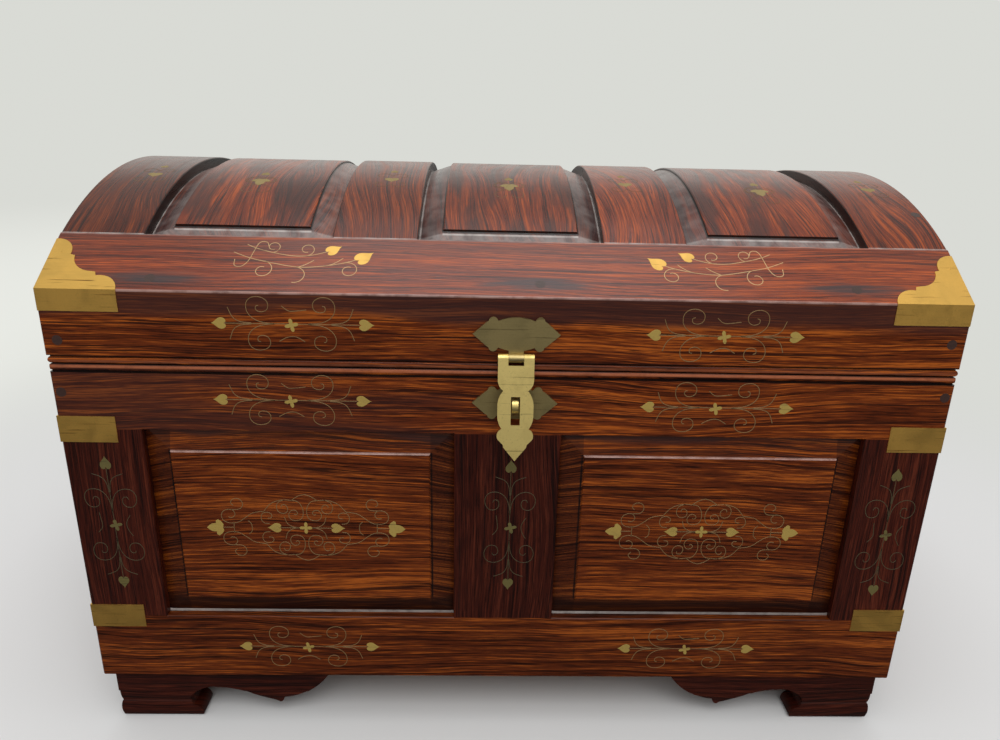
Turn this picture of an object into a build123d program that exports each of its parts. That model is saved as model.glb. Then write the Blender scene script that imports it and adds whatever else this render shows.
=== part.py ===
from build123d import *
import math
import os

# A dome-top wooden chest on bracket feet, in millimetres.
# X runs across the front, Y from front to back, Z up from the floor.
# It is worked out about the middle of the case, and at the end it is moved so that
# the origin lies on the floor under the middle of its whole outline, hasp and hinges too.

# Overall sizes
WIDTH = 610.0
DEPTH = 381.0
BODY_HEIGHT = 250.0
FOOT_HEIGHT = 46.0
LID_FRONT_HEIGHT = 50.2
DOME_RISE = 74.0
SLOPE_LENGTH = 50.0
SLOPE_ANGLE = 36.8

# Boards and their joints
BOARD = 18.0
LID_BOARD = 18.0
TOP_RAIL = 46.5
BOTTOM_RAIL = 53.5
CORNER_STILE = 55.0
CENTRE_STILE = 74.0
GROOVE_DEEP = 8.0
GROOVE_WIDE = 6.0
TONGUE_PLAY = 1.0
TONGUE_SLACK = 0.2
TENON_SHOULDER = 10.0
BOTTOM_BOARD = 12.0
BOTTOM_BOARD_RAISED = 6.0
LID_GAP = 0.3
CURVE_GAP = 0.2

# Raised panels of the case
PANEL_RECESS = 6.0
PANEL_BEVEL = 17.0
PANEL_STEP_DEPTH = 2.3
FIELD_DEPTH = 0.5
PANEL_BACK_DEPTH = 13.5

# Small flats on edges that a hand meets
EDGE_EASE = 0.7
CORNER_EASE = 1.2

# Curved panels and ribs of the lid
END_RIB = 56.0
MIDDLE_RIB = 58.0
MIDDLE_RIB_PLACE = 93.0
LID_RECESS = 8.0
LID_BEVEL = 17.0
LID_END_BEVEL = 12.0
LID_STEP_DEPTH = 2.2
LID_FIELD_DEPTH = 0.4
LID_PANEL_BACK_DEPTH = 12.5

# Bead worked along the rims
BEAD_WIDE = 4.6
BEAD_DEEP = 1.5
BEAD_SET_BACK = 0.15
QUIRK_WIDE = 1.0

# Bracket feet
FOOT_INSET = 6.0
FOOT_BOARD = 20.0
FOOT_FRONT_LENGTH = 167.0
FOOT_SIDE_LENGTH = 138.0
FOOT_ARCH_TOP = 78.0
GLUE_BLOCK = 24.0
GLUE_BLOCK_LIFT = 2.0

# Brass let into the corners
BRASS = 1.5
BRASS_PROUD = 0.4
STRAP_LENGTH = 38.5
STRAP_HEIGHT = 19.0
BRACKET_WIDE = 51.0
BRACKET_UP_SLOPE = 44.0
BRACKET_DOWN_FRONT = 14.5

# Hasp and staple, measured down from the lid's front edge
HASP_X = 4.0
HASP_PLATE_HALF = 29.0
HASP_PLATE_HALF_HEIGHT = 11.5
HASP_PLATE_DOWN = 24.9
HASP_PIVOT_DOWN = 40.6
HASP_PIVOT_OUT = 3.6
HASP_BARREL_R = 3.0
HASP_PIN_R = 1.3
PIN_FIT = 0.05
KNUCKLE_WIDE = 10.0
KNUCKLE_SIDE_GAP = 0.2
KNUCKLE_NOTCH = 1.7
LEAF_WIDE = 24.0
LEAF_LENGTH = 68.5
SLOT_WIDE = 6.1
SLOT_TOP = 25.4
SLOT_BOTTOM = 44.4
HASP_AJAR = 12.5
STAPLE_DOWN = 73.2
STAPLE_WIDE = 4.2
STAPLE_THICK = 2.3
STAPLE_HALF_HEIGHT = 6.5
STAPLE_REACH = 12.0
STAPLE_IN_WOOD = 10.0

# Butt hinges at the back
HINGE_X = 190.0
HINGE_LENGTH = 60.0
HINGE_BARREL_R = 3.2
HINGE_PIN_R = 1.5
HINGE_LEAF = 1.8
HINGE_LEAF_REACH = 13.0
HINGE_BEHIND_BACK = 3.7
HINGE_KNUCKLES = 5
HINGE_KNUCKLE_GAP = 0.2
HINGE_NOTCH_GAP = 0.4
SCREW_HEAD_R = 2.8
SCREW_R = 1.4
SCREW_LENGTH = 14.0
SCREW_SPACING = 20.0
SCREW_FIT = 0.05

# Heights and lines that follow from these
HALF_W = WIDTH / 2
HALF_D = DEPTH / 2
RIM = FOOT_HEIGHT + BODY_HEIGHT
LID_BOTTOM = RIM + LID_GAP
LID_EDGE = LID_BOTTOM + LID_FRONT_HEIGHT
INNER_W = WIDTH - 2 * BOARD
INNER_D = DEPTH - 2 * BOARD
RAIL_TOP = RIM - TOP_RAIL
RAIL_BOTTOM = FOOT_HEIGHT + BOTTOM_RAIL
GROOVE_FRONT = PANEL_RECESS
LEAF_BACK_OUT = HASP_BARREL_R - BRASS
SLOPE = math.radians(SLOPE_ANGLE)
MARGIN = 5.0


def block(x0, x1, y0, y1, z0, z1):
    """A rectangular block between two corners."""
    centre = Pos((x0 + x1) / 2, (y0 + y1) / 2, (z0 + z1) / 2)
    return centre * Box(x1 - x0, y1 - y0, z1 - z0)


def outline(plane, start, *steps):
    """A closed face: each step is a point, or a pair of a point on an arc and its end."""
    here = start
    edges = []
    for step in steps:
        if isinstance(step[0], tuple):
            edges.append(ThreePointArc(here, step[0], step[1]))
            here = step[1]
        else:
            edges.append(Line(here, step))
            here = step
    edges.append(Line(here, start))
    return plane * make_face(edges)


def cut(shape, *tools):
    """The shape without the tools that come near it."""
    for tool in tools:
        shape = shape - tool
    return shape


def rounds(shape):
    """Four copies of a shape at the left front corner, one at each corner."""
    right = mirror(shape, about=Plane.YZ)
    return [shape, right, mirror(shape, about=Plane.XZ), mirror(right, about=Plane.XZ)]


PIECES = {}


def keep(name, *shapes):
    """Names a piece; several shapes under one name are a set of like pieces."""
    PIECES[name] = [solid for shape in shapes for solid in shape.solids()]


# Brass straps round the corners of the case, over the joints of rails and stiles
def strap(z_middle):
    low, high = z_middle - STRAP_HEIGHT / 2, z_middle + STRAP_HEIGHT / 2
    let_in = BRASS - BRASS_PROUD
    x, y = -HALF_W, -HALF_D
    front = block(x - BRASS_PROUD, x + STRAP_LENGTH, y - BRASS_PROUD, y + let_in, low, high)
    side = block(x - BRASS_PROUD, x + let_in, y - BRASS_PROUD, y + STRAP_LENGTH, low, high)
    return front + side


STRAPS = rounds(strap(RAIL_TOP)) + rounds(strap(RAIL_BOTTOM))


# Bead and quirk along the front and ends of a rim
def bead_cutters(z_edge, up):
    z_bead = z_edge + up * BEAD_WIDE
    z_quirk = z_bead + up * QUIRK_WIDE
    z_past = z_edge - up * LID_GAP / 3
    arc = ((BEAD_SET_BACK, z_edge + up * BEAD_WIDE / 2), (BEAD_DEEP, z_bead))
    section = [(-1, z_past), (BEAD_DEEP, z_past), (BEAD_DEEP, z_edge), arc]
    section += [(BEAD_DEEP, z_quirk), (-1, z_quirk)]
    along_y = extrude(outline(Plane.XZ, *section), WIDTH, both=True)
    front = Pos(0, -HALF_D, 0) * Rot(0, 0, 90) * along_y
    left = Pos(-HALF_W, 0, 0) * along_y
    return [front, left, mirror(left, about=Plane.YZ)]


# Framed sides of the case, made as a front at y = 0 that looks along -Y
def framed_side(width, stiles, names, raised, groove_to):
    """Rails that run through, stiles between them, and the panels between the stiles."""
    half = width / 2
    made = {}
    tongue = GROOVE_DEEP - TONGUE_PLAY
    groove_y = (GROOVE_FRONT, GROOVE_FRONT + GROOVE_WIDE)
    stop = stiles[0][0] + TENON_SHOULDER
    end = stiles[-1][1] - TENON_SHOULDER
    top = block(-half, half, 0, BOARD, RAIL_TOP, RIM)
    made[names["top"]] = top - block(stop, end, *groove_y, RAIL_TOP - 1, RAIL_TOP + GROOVE_DEEP)
    bottom = block(-half, half, 0, BOARD, FOOT_HEIGHT, RAIL_BOTTOM)
    bottom -= block(stop, end, *groove_y, RAIL_BOTTOM - GROOVE_DEEP, RAIL_BOTTOM + 1)
    board_z = FOOT_HEIGHT + BOTTOM_BOARD_RAISED
    board_groove = (board_z, board_z + BOTTOM_BOARD)
    bottom -= block(-groove_to, groove_to, BOARD - GROOVE_DEEP, BOARD + 1, *board_groove)
    made[names["bottom"]] = bottom
    tenon_z = (RAIL_BOTTOM - tongue, RAIL_TOP + tongue)
    for number, (low, high) in enumerate(stiles):
        piece = block(low, high, 0, BOARD, RAIL_BOTTOM, RAIL_TOP)
        piece += block(max(low, stop), min(high, end), *groove_y, *tenon_z)
        if number > 0:
            piece -= block(low - 1, low + GROOVE_DEEP, *groove_y, *tenon_z)
        if number < len(stiles) - 1:
            piece -= block(high - GROOVE_DEEP, high + 1, *groove_y, *tenon_z)
        made[names["stiles"][number]] = piece
    openings = [(left[1], right[0]) for left, right in zip(stiles, stiles[1:])]
    eased = [eased_opening(*opening) for opening in openings]
    made = {name: cut(piece, *eased) for name, piece in made.items()}
    for name, opening in zip(names["panels"], openings):
        made[name] = panel(*opening, raised)
    return made


def panel(low, high, raised):
    """A panel with a tongue all round, and on a raised one a bevel, a step and a field."""
    tongue = GROOVE_DEEP - TONGUE_PLAY
    front = PANEL_RECESS + TONGUE_SLACK
    back = GROOVE_FRONT + GROOVE_WIDE - TONGUE_SLACK
    tongue_z = (RAIL_BOTTOM - tongue, RAIL_TOP + tongue)
    piece = block(low - tongue, high + tongue, front, back, *tongue_z)
    rise = PANEL_RECESS - PANEL_STEP_DEPTH
    if not raised:
        return piece
    inside = (low + TONGUE_SLACK, high - TONGUE_SLACK)
    inside_z = (RAIL_BOTTOM + TONGUE_SLACK, RAIL_TOP - TONGUE_SLACK)
    piece += block(*inside, front, PANEL_BACK_DEPTH, *inside_z)
    middle = ((low + high) / 2, (RAIL_BOTTOM + RAIL_TOP) / 2)
    wide, tall = inside[1] - inside[0], inside_z[1] - inside_z[0]
    foot = Plane((middle[0], front, middle[1]), x_dir=(1, 0, 0), z_dir=(0, -1, 0))
    field = Plane((middle[0], front - rise, middle[1]), x_dir=(1, 0, 0), z_dir=(0, -1, 0))
    field_size = (high - low - 2 * PANEL_BEVEL, RAIL_TOP - RAIL_BOTTOM - 2 * PANEL_BEVEL + 2)
    piece += loft([foot * Rectangle(wide, tall), field * Rectangle(*field_size)], ruled=True)
    flat = field.offset(front - rise - FIELD_DEPTH - EDGE_EASE)
    top_size = [size - 2 * EDGE_EASE for size in field_size]
    piece += extrude(field * Rectangle(*field_size), front - rise - FIELD_DEPTH - EDGE_EASE)
    top = flat.offset(EDGE_EASE) * Rectangle(*top_size)
    piece += loft([flat * Rectangle(*field_size), top], ruled=True)
    return piece


def eased_opening(low, high):
    """The flat round the edge of an opening in a framed side, as a tool to cut it."""
    middle = ((low + high) / 2, (RAIL_BOTTOM + RAIL_TOP) / 2)
    wide, tall = high - low, RAIL_TOP - RAIL_BOTTOM
    outer = Plane((middle[0], 0, middle[1]), x_dir=(1, 0, 0), z_dir=(0, -1, 0))
    inner = Plane((middle[0], EDGE_EASE, middle[1]), x_dir=(1, 0, 0), z_dir=(0, -1, 0))
    widest = Rectangle(wide + 2 * EDGE_EASE, tall + 2 * EDGE_EASE)
    return loft([outer * widest, inner * Rectangle(wide, tall)], ruled=True)


def eased_corners():
    """The flats down the four corners of the case, as tools to cut them."""
    x, y = -HALF_W, -HALF_D
    flat = outline(Plane.XY, (x - 1, y - 1), (x + CORNER_EASE, y - 1), (x + CORNER_EASE, y),
                   (x, y + CORNER_EASE), (x - 1, y + CORNER_EASE))
    return rounds(Pos(0, 0, FOOT_HEIGHT) * extrude(flat, BODY_HEIGHT))


def side_names(side, stiles, panels):
    return {"top": side + "_top_rail", "bottom": side + "_bottom_rail",
            "stiles": [side + "_" + name for name in stiles],
            "panels": [side + "_" + name for name in panels]}


def case():
    beads = bead_cutters(RIM, -1)
    corners = eased_corners()
    full = [(-HALF_W, -HALF_W + CORNER_STILE), (-CENTRE_STILE / 2, CENTRE_STILE / 2),
            (HALF_W - CORNER_STILE, HALF_W)]
    end_half = INNER_D / 2
    end_stile = CORNER_STILE - BOARD
    short = [(-end_half, -end_half + end_stile), (end_half - end_stile, end_half)]
    groove_to = INNER_W / 2 + GROOVE_DEEP
    front = side_names("front", ["left_stile", "centre_stile", "right_stile"],
                       ["left_panel", "right_panel"])
    back = side_names("back", ["right_stile", "centre_stile", "left_stile"],
                      ["right_panel", "left_panel"])
    left = side_names("left_end", ["back_stile", "front_stile"], ["panel"])
    right = side_names("right_end", ["front_stile", "back_stile"], ["panel"])
    made = {}
    for names, raised, place in ((front, True, Pos(0, -HALF_D, 0)),
                                 (back, False, Pos(0, HALF_D, 0) * Rot(0, 0, 180))):
        side = framed_side(WIDTH, full, names, raised, groove_to)
        made.update({name: place * piece for name, piece in side.items()})
    for names, place in ((left, Pos(-HALF_W, 0, 0) * Rot(0, 0, -90)),
                         (right, Pos(HALF_W, 0, 0) * Rot(0, 0, 90))):
        side = framed_side(INNER_D, short, names, True, INNER_D)
        made.update({name: place * piece for name, piece in side.items()})
    for name in made:
        if name.endswith("top_rail"):
            made[name] = cut(made[name], *beads)
        if not name.endswith("panel"):
            made[name] = cut(made[name], *corners, *STRAPS)
    return made


def bottom_board():
    reach_x = INNER_W / 2 + GROOVE_DEEP - TONGUE_PLAY
    reach_y = INNER_D / 2 + GROOVE_DEEP - TONGUE_PLAY
    low = FOOT_HEIGHT + BOTTOM_BOARD_RAISED
    return block(-reach_x, reach_x, -reach_y, reach_y, low, low + BOTTOM_BOARD)


# Bracket feet: two boards mitred at each corner, with a block glued behind them
def foot_board(length):
    """The front board of the left front foot, with its outer corner at the origin."""
    stretch = (length - FOOT_ARCH_TOP) / (FOOT_FRONT_LENGTH - FOOT_ARCH_TOP)

    def wing(x, z):
        """A point past the top of the arch, drawn in with the length of the board."""
        return (FOOT_ARCH_TOP + (x - FOOT_ARCH_TOP) * stretch, z)

    toe = [(60.5, 0), ((63.2, 1.5), (63.8, 4.7)), ((61.8, 9), (57, 11.2)),
           ((54.9, 15.5), (57.4, 21.2)), ((64, 26.6), (FOOT_ARCH_TOP, 28.6))]
    tail = [(wing(92, 26.8), wing(104, 22)), wing(123.6, 14.4), (wing(126.4, 14.4), wing(127.8, 16.4)),
            wing(128.6, 18.7), (wing(150, 26.6), (length, FOOT_HEIGHT))]
    section = [(FOOT_BOARD, FOOT_HEIGHT), (0, FOOT_HEIGHT), (0, 25), (0.6, 24.4),
               ((0.8, 19.5), (1.6, 15)), (0.9, 13.8), ((0.2, 8.5), (0.9, 2.6)),
               ((1.6, 0.8), (3.4, 0)), (FOOT_BOARD, 0)]
    bracket = [(0, FOOT_HEIGHT), (0, 0), *toe, *tail]
    seen = Pos(0, FOOT_BOARD, 0) * extrude(outline(Plane.XZ, *bracket), FOOT_BOARD + 1)
    worked = extrude(outline(Plane.YZ, *section), length + MARGIN, both=True)
    corner = outline(Plane.XY, (-1, -1), (FOOT_BOARD + 1, FOOT_BOARD + 1), (-1, FOOT_BOARD + 1))
    return (seen & worked) - extrude(corner, FOOT_HEIGHT)


def feet():
    corner = Pos(-HALF_W + FOOT_INSET, -HALF_D + FOOT_INSET, 0)
    front = corner * foot_board(FOOT_FRONT_LENGTH)
    diagonal = Plane((0, 0, 0), z_dir=(1, -1, 0))
    side = corner * mirror(foot_board(FOOT_SIDE_LENGTH), about=diagonal)
    far = FOOT_BOARD + GLUE_BLOCK
    high = FOOT_HEIGHT + BOTTOM_BOARD_RAISED
    glued = corner * block(FOOT_BOARD, far, FOOT_BOARD, far, GLUE_BLOCK_LIFT, high)
    places = ("front_left", "front_right", "back_left", "back_right")
    for place, face, flank in zip(places, rounds(front), rounds(side)):
        keep("foot_" + place + "_bracket", face)
        keep("foot_" + place + "_side_bracket", flank)
    keep("foot_glue_blocks", *rounds(glued))


# Lid: lines of its end profile, as (y, z) on the front half
def on_slope(along, inwards):
    """A point on the sloped board, by its way up the slope and its depth below the face."""
    y = -HALF_D + along * math.cos(SLOPE) + inwards * math.sin(SLOPE)
    return (y, LID_EDGE + along * math.sin(SLOPE) - inwards * math.cos(SLOPE))


SEAM = on_slope(SLOPE_LENGTH, 0)
CHORD_HALF = -SEAM[0]
DOME_SAG = LID_EDGE + DOME_RISE - SEAM[1]
DOME_R = (CHORD_HALF ** 2 + DOME_SAG ** 2) / (2 * DOME_SAG)
DOME_Z = LID_EDGE + DOME_RISE - DOME_R
DOME_HALF_ANGLE = math.asin(CHORD_HALF / DOME_R)
DOME_AXIS = Axis((0, 0, DOME_Z), (1, 0, 0))
FRONT_BEND = on_slope(LID_BOARD * (1 - math.sin(SLOPE)) / math.cos(SLOPE), LID_BOARD)
SEAM_TILT = SLOPE - DOME_HALF_ANGLE
INNER_SEAM = on_slope(SLOPE_LENGTH - LID_BOARD * math.tan(SEAM_TILT), LID_BOARD)


def on_dome(angle, depth):
    """A point under the dome's face, by its angle from the top and its depth."""
    radius = DOME_R - depth
    return (-radius * math.sin(angle), DOME_Z + radius * math.cos(angle))


def bent(section, half_angle):
    """A section in x and depth, swept round the dome from the back to the front."""
    points = [(x, DOME_Z + DOME_R - depth) for x, depth in section]
    face = Plane.XZ * make_face(Polyline(*points, close=True))
    start = face.rotate(DOME_AXIS, -math.degrees(half_angle))
    return revolve(start, DOME_AXIS, 2 * math.degrees(half_angle))


def eased_bend():
    """The flat along the front edge of the lid, where the rail meets the slope."""
    low = (-HALF_D, LID_EDGE - EDGE_EASE)
    past = (-HALF_D - EDGE_EASE, LID_EDGE + EDGE_EASE)
    return extrude(outline(Plane.YZ, low, past, on_slope(EDGE_EASE, 0)), HALF_W, both=True)


def lid_openings():
    """The stretches of width between the ribs, where the curved panels lie."""
    place, half = MIDDLE_RIB_PLACE, MIDDLE_RIB / 2
    outer = HALF_W - END_RIB
    return [(-outer, -place - half), (-place + half, place - half), (place + half, outer)]


def tongue_groove(low, high):
    front, back = LID_RECESS - TONGUE_SLACK, LID_PANEL_BACK_DEPTH + TONGUE_SLACK
    low, high = low - GROOVE_DEEP, high + GROOVE_DEEP
    angle = DOME_HALF_ANGLE + GROOVE_DEEP / DOME_R
    return bent([(low, front), (high, front), (high, back), (low, back)], angle)


def curved_panel(low, high):
    """A raised panel bent to the dome, bevelled on all four sides."""
    tongue = GROOVE_DEEP - TONGUE_PLAY
    past = DOME_HALF_ANGLE + tongue / DOME_R
    back = LID_PANEL_BACK_DEPTH
    half = [(low - tongue, back), (low - tongue, LID_RECESS), (low, LID_RECESS),
            (low + LID_BEVEL, LID_STEP_DEPTH), (low + LID_BEVEL, LID_FIELD_DEPTH + EDGE_EASE),
            (low + LID_BEVEL + EDGE_EASE, LID_FIELD_DEPTH)]
    other = [(low + high - x, depth) for x, depth in reversed(half)]
    piece = bent(half + other, past)
    step = DOME_HALF_ANGLE - LID_END_BEVEL / DOME_R
    above = -MARGIN
    far = past + MARGIN / DOME_R
    wedge = [on_dome(far, LID_RECESS), on_dome(DOME_HALF_ANGLE, LID_RECESS),
             on_dome(step, LID_STEP_DEPTH), on_dome(step, above), on_dome(far, above)]
    wide = high - low + 4 * GROOVE_DEEP
    front = Pos((low + high) / 2, 0, 0) * extrude(outline(Plane.YZ, *wedge), wide / 2, both=True)
    return cut(piece, front, mirror(front, about=Plane.XZ))


# Lid corner brackets
def bracket_slope_outline():
    """The lobed leg that lies on the slope: x from the corner, then the way up the slope."""
    return [(-BRASS_PROUD, -BRASS), (-BRASS_PROUD, BRACKET_UP_SLOPE),
            ((10.5, 39.5), (13.2, 30)), (16.5, 29), ((20.5, 19.8), (30, 15.5)), (34, 14.8),
            (35.2, 11.7), ((46, 9.2), (BRACKET_WIDE, 0)), (BRACKET_WIDE, -BRASS)]


def bracket():
    """The left front bracket: a bent front leg, a lobed leg and a leg on the end."""
    let_in = BRASS - BRASS_PROUD
    half_turn = (math.pi / 2 - SLOPE) / 2
    fold = math.tan(half_turn)
    down = LID_EDGE - BRACKET_DOWN_FRONT
    outer_z = LID_EDGE + BRASS_PROUD * fold
    inner_z = LID_EDGE - let_in * fold
    strip = [(-HALF_D - BRASS_PROUD, down), (-HALF_D - BRASS_PROUD, outer_z),
             on_slope(BRACKET_UP_SLOPE, -BRASS_PROUD), on_slope(BRACKET_UP_SLOPE, let_in),
             (-HALF_D + let_in, inner_z), (-HALF_D + let_in, down)]
    left = -HALF_W - BRASS_PROUD
    wide = BRACKET_WIDE + BRASS_PROUD
    folded = Pos(left, 0, 0) * extrude(outline(Plane.YZ, *strip), wide)
    edge = (-HALF_W, -HALF_D, LID_EDGE)
    normal = (0, -math.sin(SLOPE), math.cos(SLOPE))
    slope_face = Plane(edge, x_dir=(1, 0, 0), z_dir=normal)
    lobed = extrude(outline(slope_face, *bracket_slope_outline()), 2 * BRASS, both=True)
    front_half = block(left, -HALF_W + wide, -HALF_D - BRASS, -HALF_D + let_in, down, LID_EDGE)
    folded = folded & (lobed + front_half)
    flank = [(-HALF_D - BRASS_PROUD, down), (-HALF_D - BRASS_PROUD, outer_z),
             on_slope(BRACKET_UP_SLOPE, -BRASS_PROUD),
             on_slope(BRACKET_UP_SLOPE, BRACKET_DOWN_FRONT),
             on_slope(BRACKET_DOWN_FRONT * fold, BRACKET_DOWN_FRONT)]
    side = Pos(left, 0, 0) * extrude(outline(Plane.YZ, *flank), BRASS)
    return folded + side


BRACKETS = rounds(bracket())


# Hasp: the plate on the lid, the swinging leaf, its pin, the staple and its plate
def front_plane(x, out, z):
    """A drawing plane on the front of the chest, looking out, its origin at x and z."""
    return Plane((x, -HALF_D - out, z), x_dir=(1, 0, 0), z_dir=(0, -1, 0))


def mirrored(shape, plane):
    return shape + mirror(shape, about=plane)


def hasp_plate(z_middle):
    """The lobed, pointed plate that the lid and the staple share."""
    half, tall = HASP_PLATE_HALF, HASP_PLATE_HALF_HEIGHT
    shoulder = tall * 0.78
    quarter = outline(front_plane(HASP_X, 0, z_middle), (0, 0), (half, 0),
                      (half - 9, tall * 0.7), (half - 10.5, shoulder),
                      ((half - 12.5, tall), (half - 15.8, tall * 0.92)), (half - 17, shoulder),
                      ((half / 2 - 8.5, tall - (tall - shoulder) / 4), (0, tall)))
    plate = mirrored(extrude(quarter, BRASS), Plane.YZ.offset(HASP_X))
    return mirrored(plate, Plane.XY.offset(z_middle))


PIVOT_Y = -HALF_D - HASP_PIVOT_OUT
PIVOT_Z = LID_EDGE - HASP_PIVOT_DOWN
HASP_AXIS = Axis((HASP_X, PIVOT_Y, PIVOT_Z), (1, 0, 0))


def rod(x0, x1, y, z, radius):
    """A round bar along X."""
    return Pos((x0 + x1) / 2, y, z) * Rot(0, 90, 0) * Cylinder(radius, x1 - x0)


def hasp_lid_plate():
    plate = hasp_plate(LID_EDGE - HASP_PLATE_DOWN)
    half = KNUCKLE_WIDE / 2
    plate += block(HASP_X - half, HASP_X + half, -HALF_D - BRASS, -HALF_D, PIVOT_Z,
                   LID_EDGE - HASP_PLATE_DOWN - HASP_PLATE_HALF_HEIGHT + 2)
    plate += rod(HASP_X - half, HASP_X + half, PIVOT_Y, PIVOT_Z, HASP_BARREL_R)
    return plate - rod(HASP_X - half - 1, HASP_X + half + 1, PIVOT_Y, PIVOT_Z,
                       HASP_PIN_R + PIN_FIT)


def hasp_leaf():
    """The leaf as it hangs over the staple, then swung out by its angle of rest."""
    half = LEAF_WIDE / 2
    side = [(0, 0), (half, 0), (half, -14), ((half - 0.9, -18), (8.2, -21.4)),
            ((half - 1.2, -25.5), (half, -31)), (half, -38), ((half - 1.1, -43.5), (9, -47)),
            ((half - 0.3, -49.6), (half - 0.6, -54.2)), (8, -57.6), (7.6, -59.4),
            (0, -LEAF_LENGTH)]
    right = extrude(outline(front_plane(HASP_X, HASP_PIVOT_OUT + LEAF_BACK_OUT, PIVOT_Z), *side),
                    BRASS)
    leaf = mirrored(right, Plane.YZ.offset(HASP_X))
    leaf += rod(HASP_X - half, HASP_X + half, PIVOT_Y, PIVOT_Z, HASP_BARREL_R)
    inner = KNUCKLE_WIDE / 2 + KNUCKLE_SIDE_GAP
    notch_z = PIVOT_Z - HASP_BARREL_R - KNUCKLE_NOTCH
    through = (PIVOT_Y - MARGIN, PIVOT_Y + MARGIN)
    leaf -= block(HASP_X - inner, HASP_X + inner, *through, notch_z, PIVOT_Z + MARGIN)
    slot = (HASP_X - SLOT_WIDE / 2, HASP_X + SLOT_WIDE / 2)
    leaf -= block(*slot, *through, PIVOT_Z - SLOT_BOTTOM, PIVOT_Z - SLOT_TOP)
    leaf -= rod(HASP_X - half - 1, HASP_X + half + 1, PIVOT_Y, PIVOT_Z, HASP_PIN_R + PIN_FIT)
    return leaf.rotate(HASP_AXIS, -HASP_AJAR)


def staple():
    """A loop of flat bar that stands up and down, with both legs in the rail."""
    z = LID_EDGE - STAPLE_DOWN
    turn = -HALF_D - STAPLE_REACH + STAPLE_HALF_HEIGHT
    inside = -HALF_D + STAPLE_IN_WOOD
    outer, inner = STAPLE_HALF_HEIGHT, STAPLE_HALF_HEIGHT - STAPLE_THICK
    loop = [(inside, z + outer), (turn, z + outer), ((turn - outer, z), (turn, z - outer)),
            (inside, z - outer), (inside, z - inner), (turn, z - inner),
            ((turn - inner, z), (turn, z + inner)), (inside, z + inner)]
    left = HASP_X - STAPLE_WIDE / 2
    return Pos(left, 0, 0) * extrude(outline(Plane.YZ, *loop), STAPLE_WIDE)


def staple_legs():
    """The two legs as plain bars, to cut their holes."""
    z = LID_EDGE - STAPLE_DOWN
    outer, inner = STAPLE_HALF_HEIGHT, STAPLE_HALF_HEIGHT - STAPLE_THICK
    x0, x1 = HASP_X - STAPLE_WIDE / 2, HASP_X + STAPLE_WIDE / 2
    y0, y1 = -HALF_D - 2 * BRASS, -HALF_D + STAPLE_IN_WOOD
    return [block(x0, x1, y0, y1, z + inner, z + outer),
            block(x0, x1, y0, y1, z - outer, z - inner)]


# Butt hinges let into the rims at the back
HINGE_Y = HALF_D + HINGE_BEHIND_BACK
HINGE_Z = RIM + LID_GAP / 2


def hinge_leaf(x_middle, up):
    """One leaf: its flat in the rim and its share of the knuckles (up is 1 on the lid)."""
    x0 = x_middle - HINGE_LENGTH / 2
    near = HINGE_Z + up * LID_GAP / 2
    flat_z = sorted((near, near + up * HINGE_LEAF))
    leaf = block(x0, x0 + HINGE_LENGTH, HALF_D - HINGE_LEAF_REACH, HINGE_Y, *flat_z)
    step = HINGE_LENGTH / HINGE_KNUCKLES
    clear = HINGE_BARREL_R + HINGE_NOTCH_GAP
    for number in range(HINGE_KNUCKLES):
        low, high = x0 + number * step, x0 + (number + 1) * step
        if number % 2 == (1 if up > 0 else 0):
            gap = HINGE_KNUCKLE_GAP / 2
            leaf += rod(low + gap, high - gap, HINGE_Y, HINGE_Z, HINGE_BARREL_R)
        else:
            gap = HINGE_KNUCKLE_GAP / 2
            leaf -= block(low - gap, high + gap, HINGE_Y - clear, HINGE_Y + clear,
                          HINGE_Z - clear, HINGE_Z + clear)
    leaf -= rod(x0 - 1, x0 + HINGE_LENGTH + 1, HINGE_Y, HINGE_Z, HINGE_PIN_R + PIN_FIT)
    return cut(leaf, *[screw(x, up, SCREW_FIT) for x in screw_places(x_middle)])


def hinge_pocket(x_middle, up):
    """The room that a leaf takes out of the rim."""
    x0 = x_middle - HINGE_LENGTH / 2
    near = HINGE_Z + up * LID_GAP / 2
    z = sorted((near - up * LID_GAP / 3, near + up * HINGE_LEAF))
    return block(x0, x0 + HINGE_LENGTH, HALF_D - HINGE_LEAF_REACH, HALF_D + 1, *z)


def screw_places(x_middle):
    return [x_middle - SCREW_SPACING, x_middle, x_middle + SCREW_SPACING]


def screw(x, up, fit):
    """A countersunk screw, with its head flush in the leaf and pointing into the wood."""
    near = HINGE_Z + up * LID_GAP / 2
    y = HALF_D - HINGE_LEAF_REACH / 2
    head, shank = SCREW_HEAD_R + fit, SCREW_R + fit
    section = outline(Plane.XZ, (0, 0), (head, 0), (shank, head - shank),
                      (shank, SCREW_LENGTH + fit), (0, SCREW_LENGTH + fit + shank))
    turned = revolve(section, Axis.Z)
    if up < 0:
        turned = Rot(180, 0, 0) * turned
    return Pos(x, y, near) * turned


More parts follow.
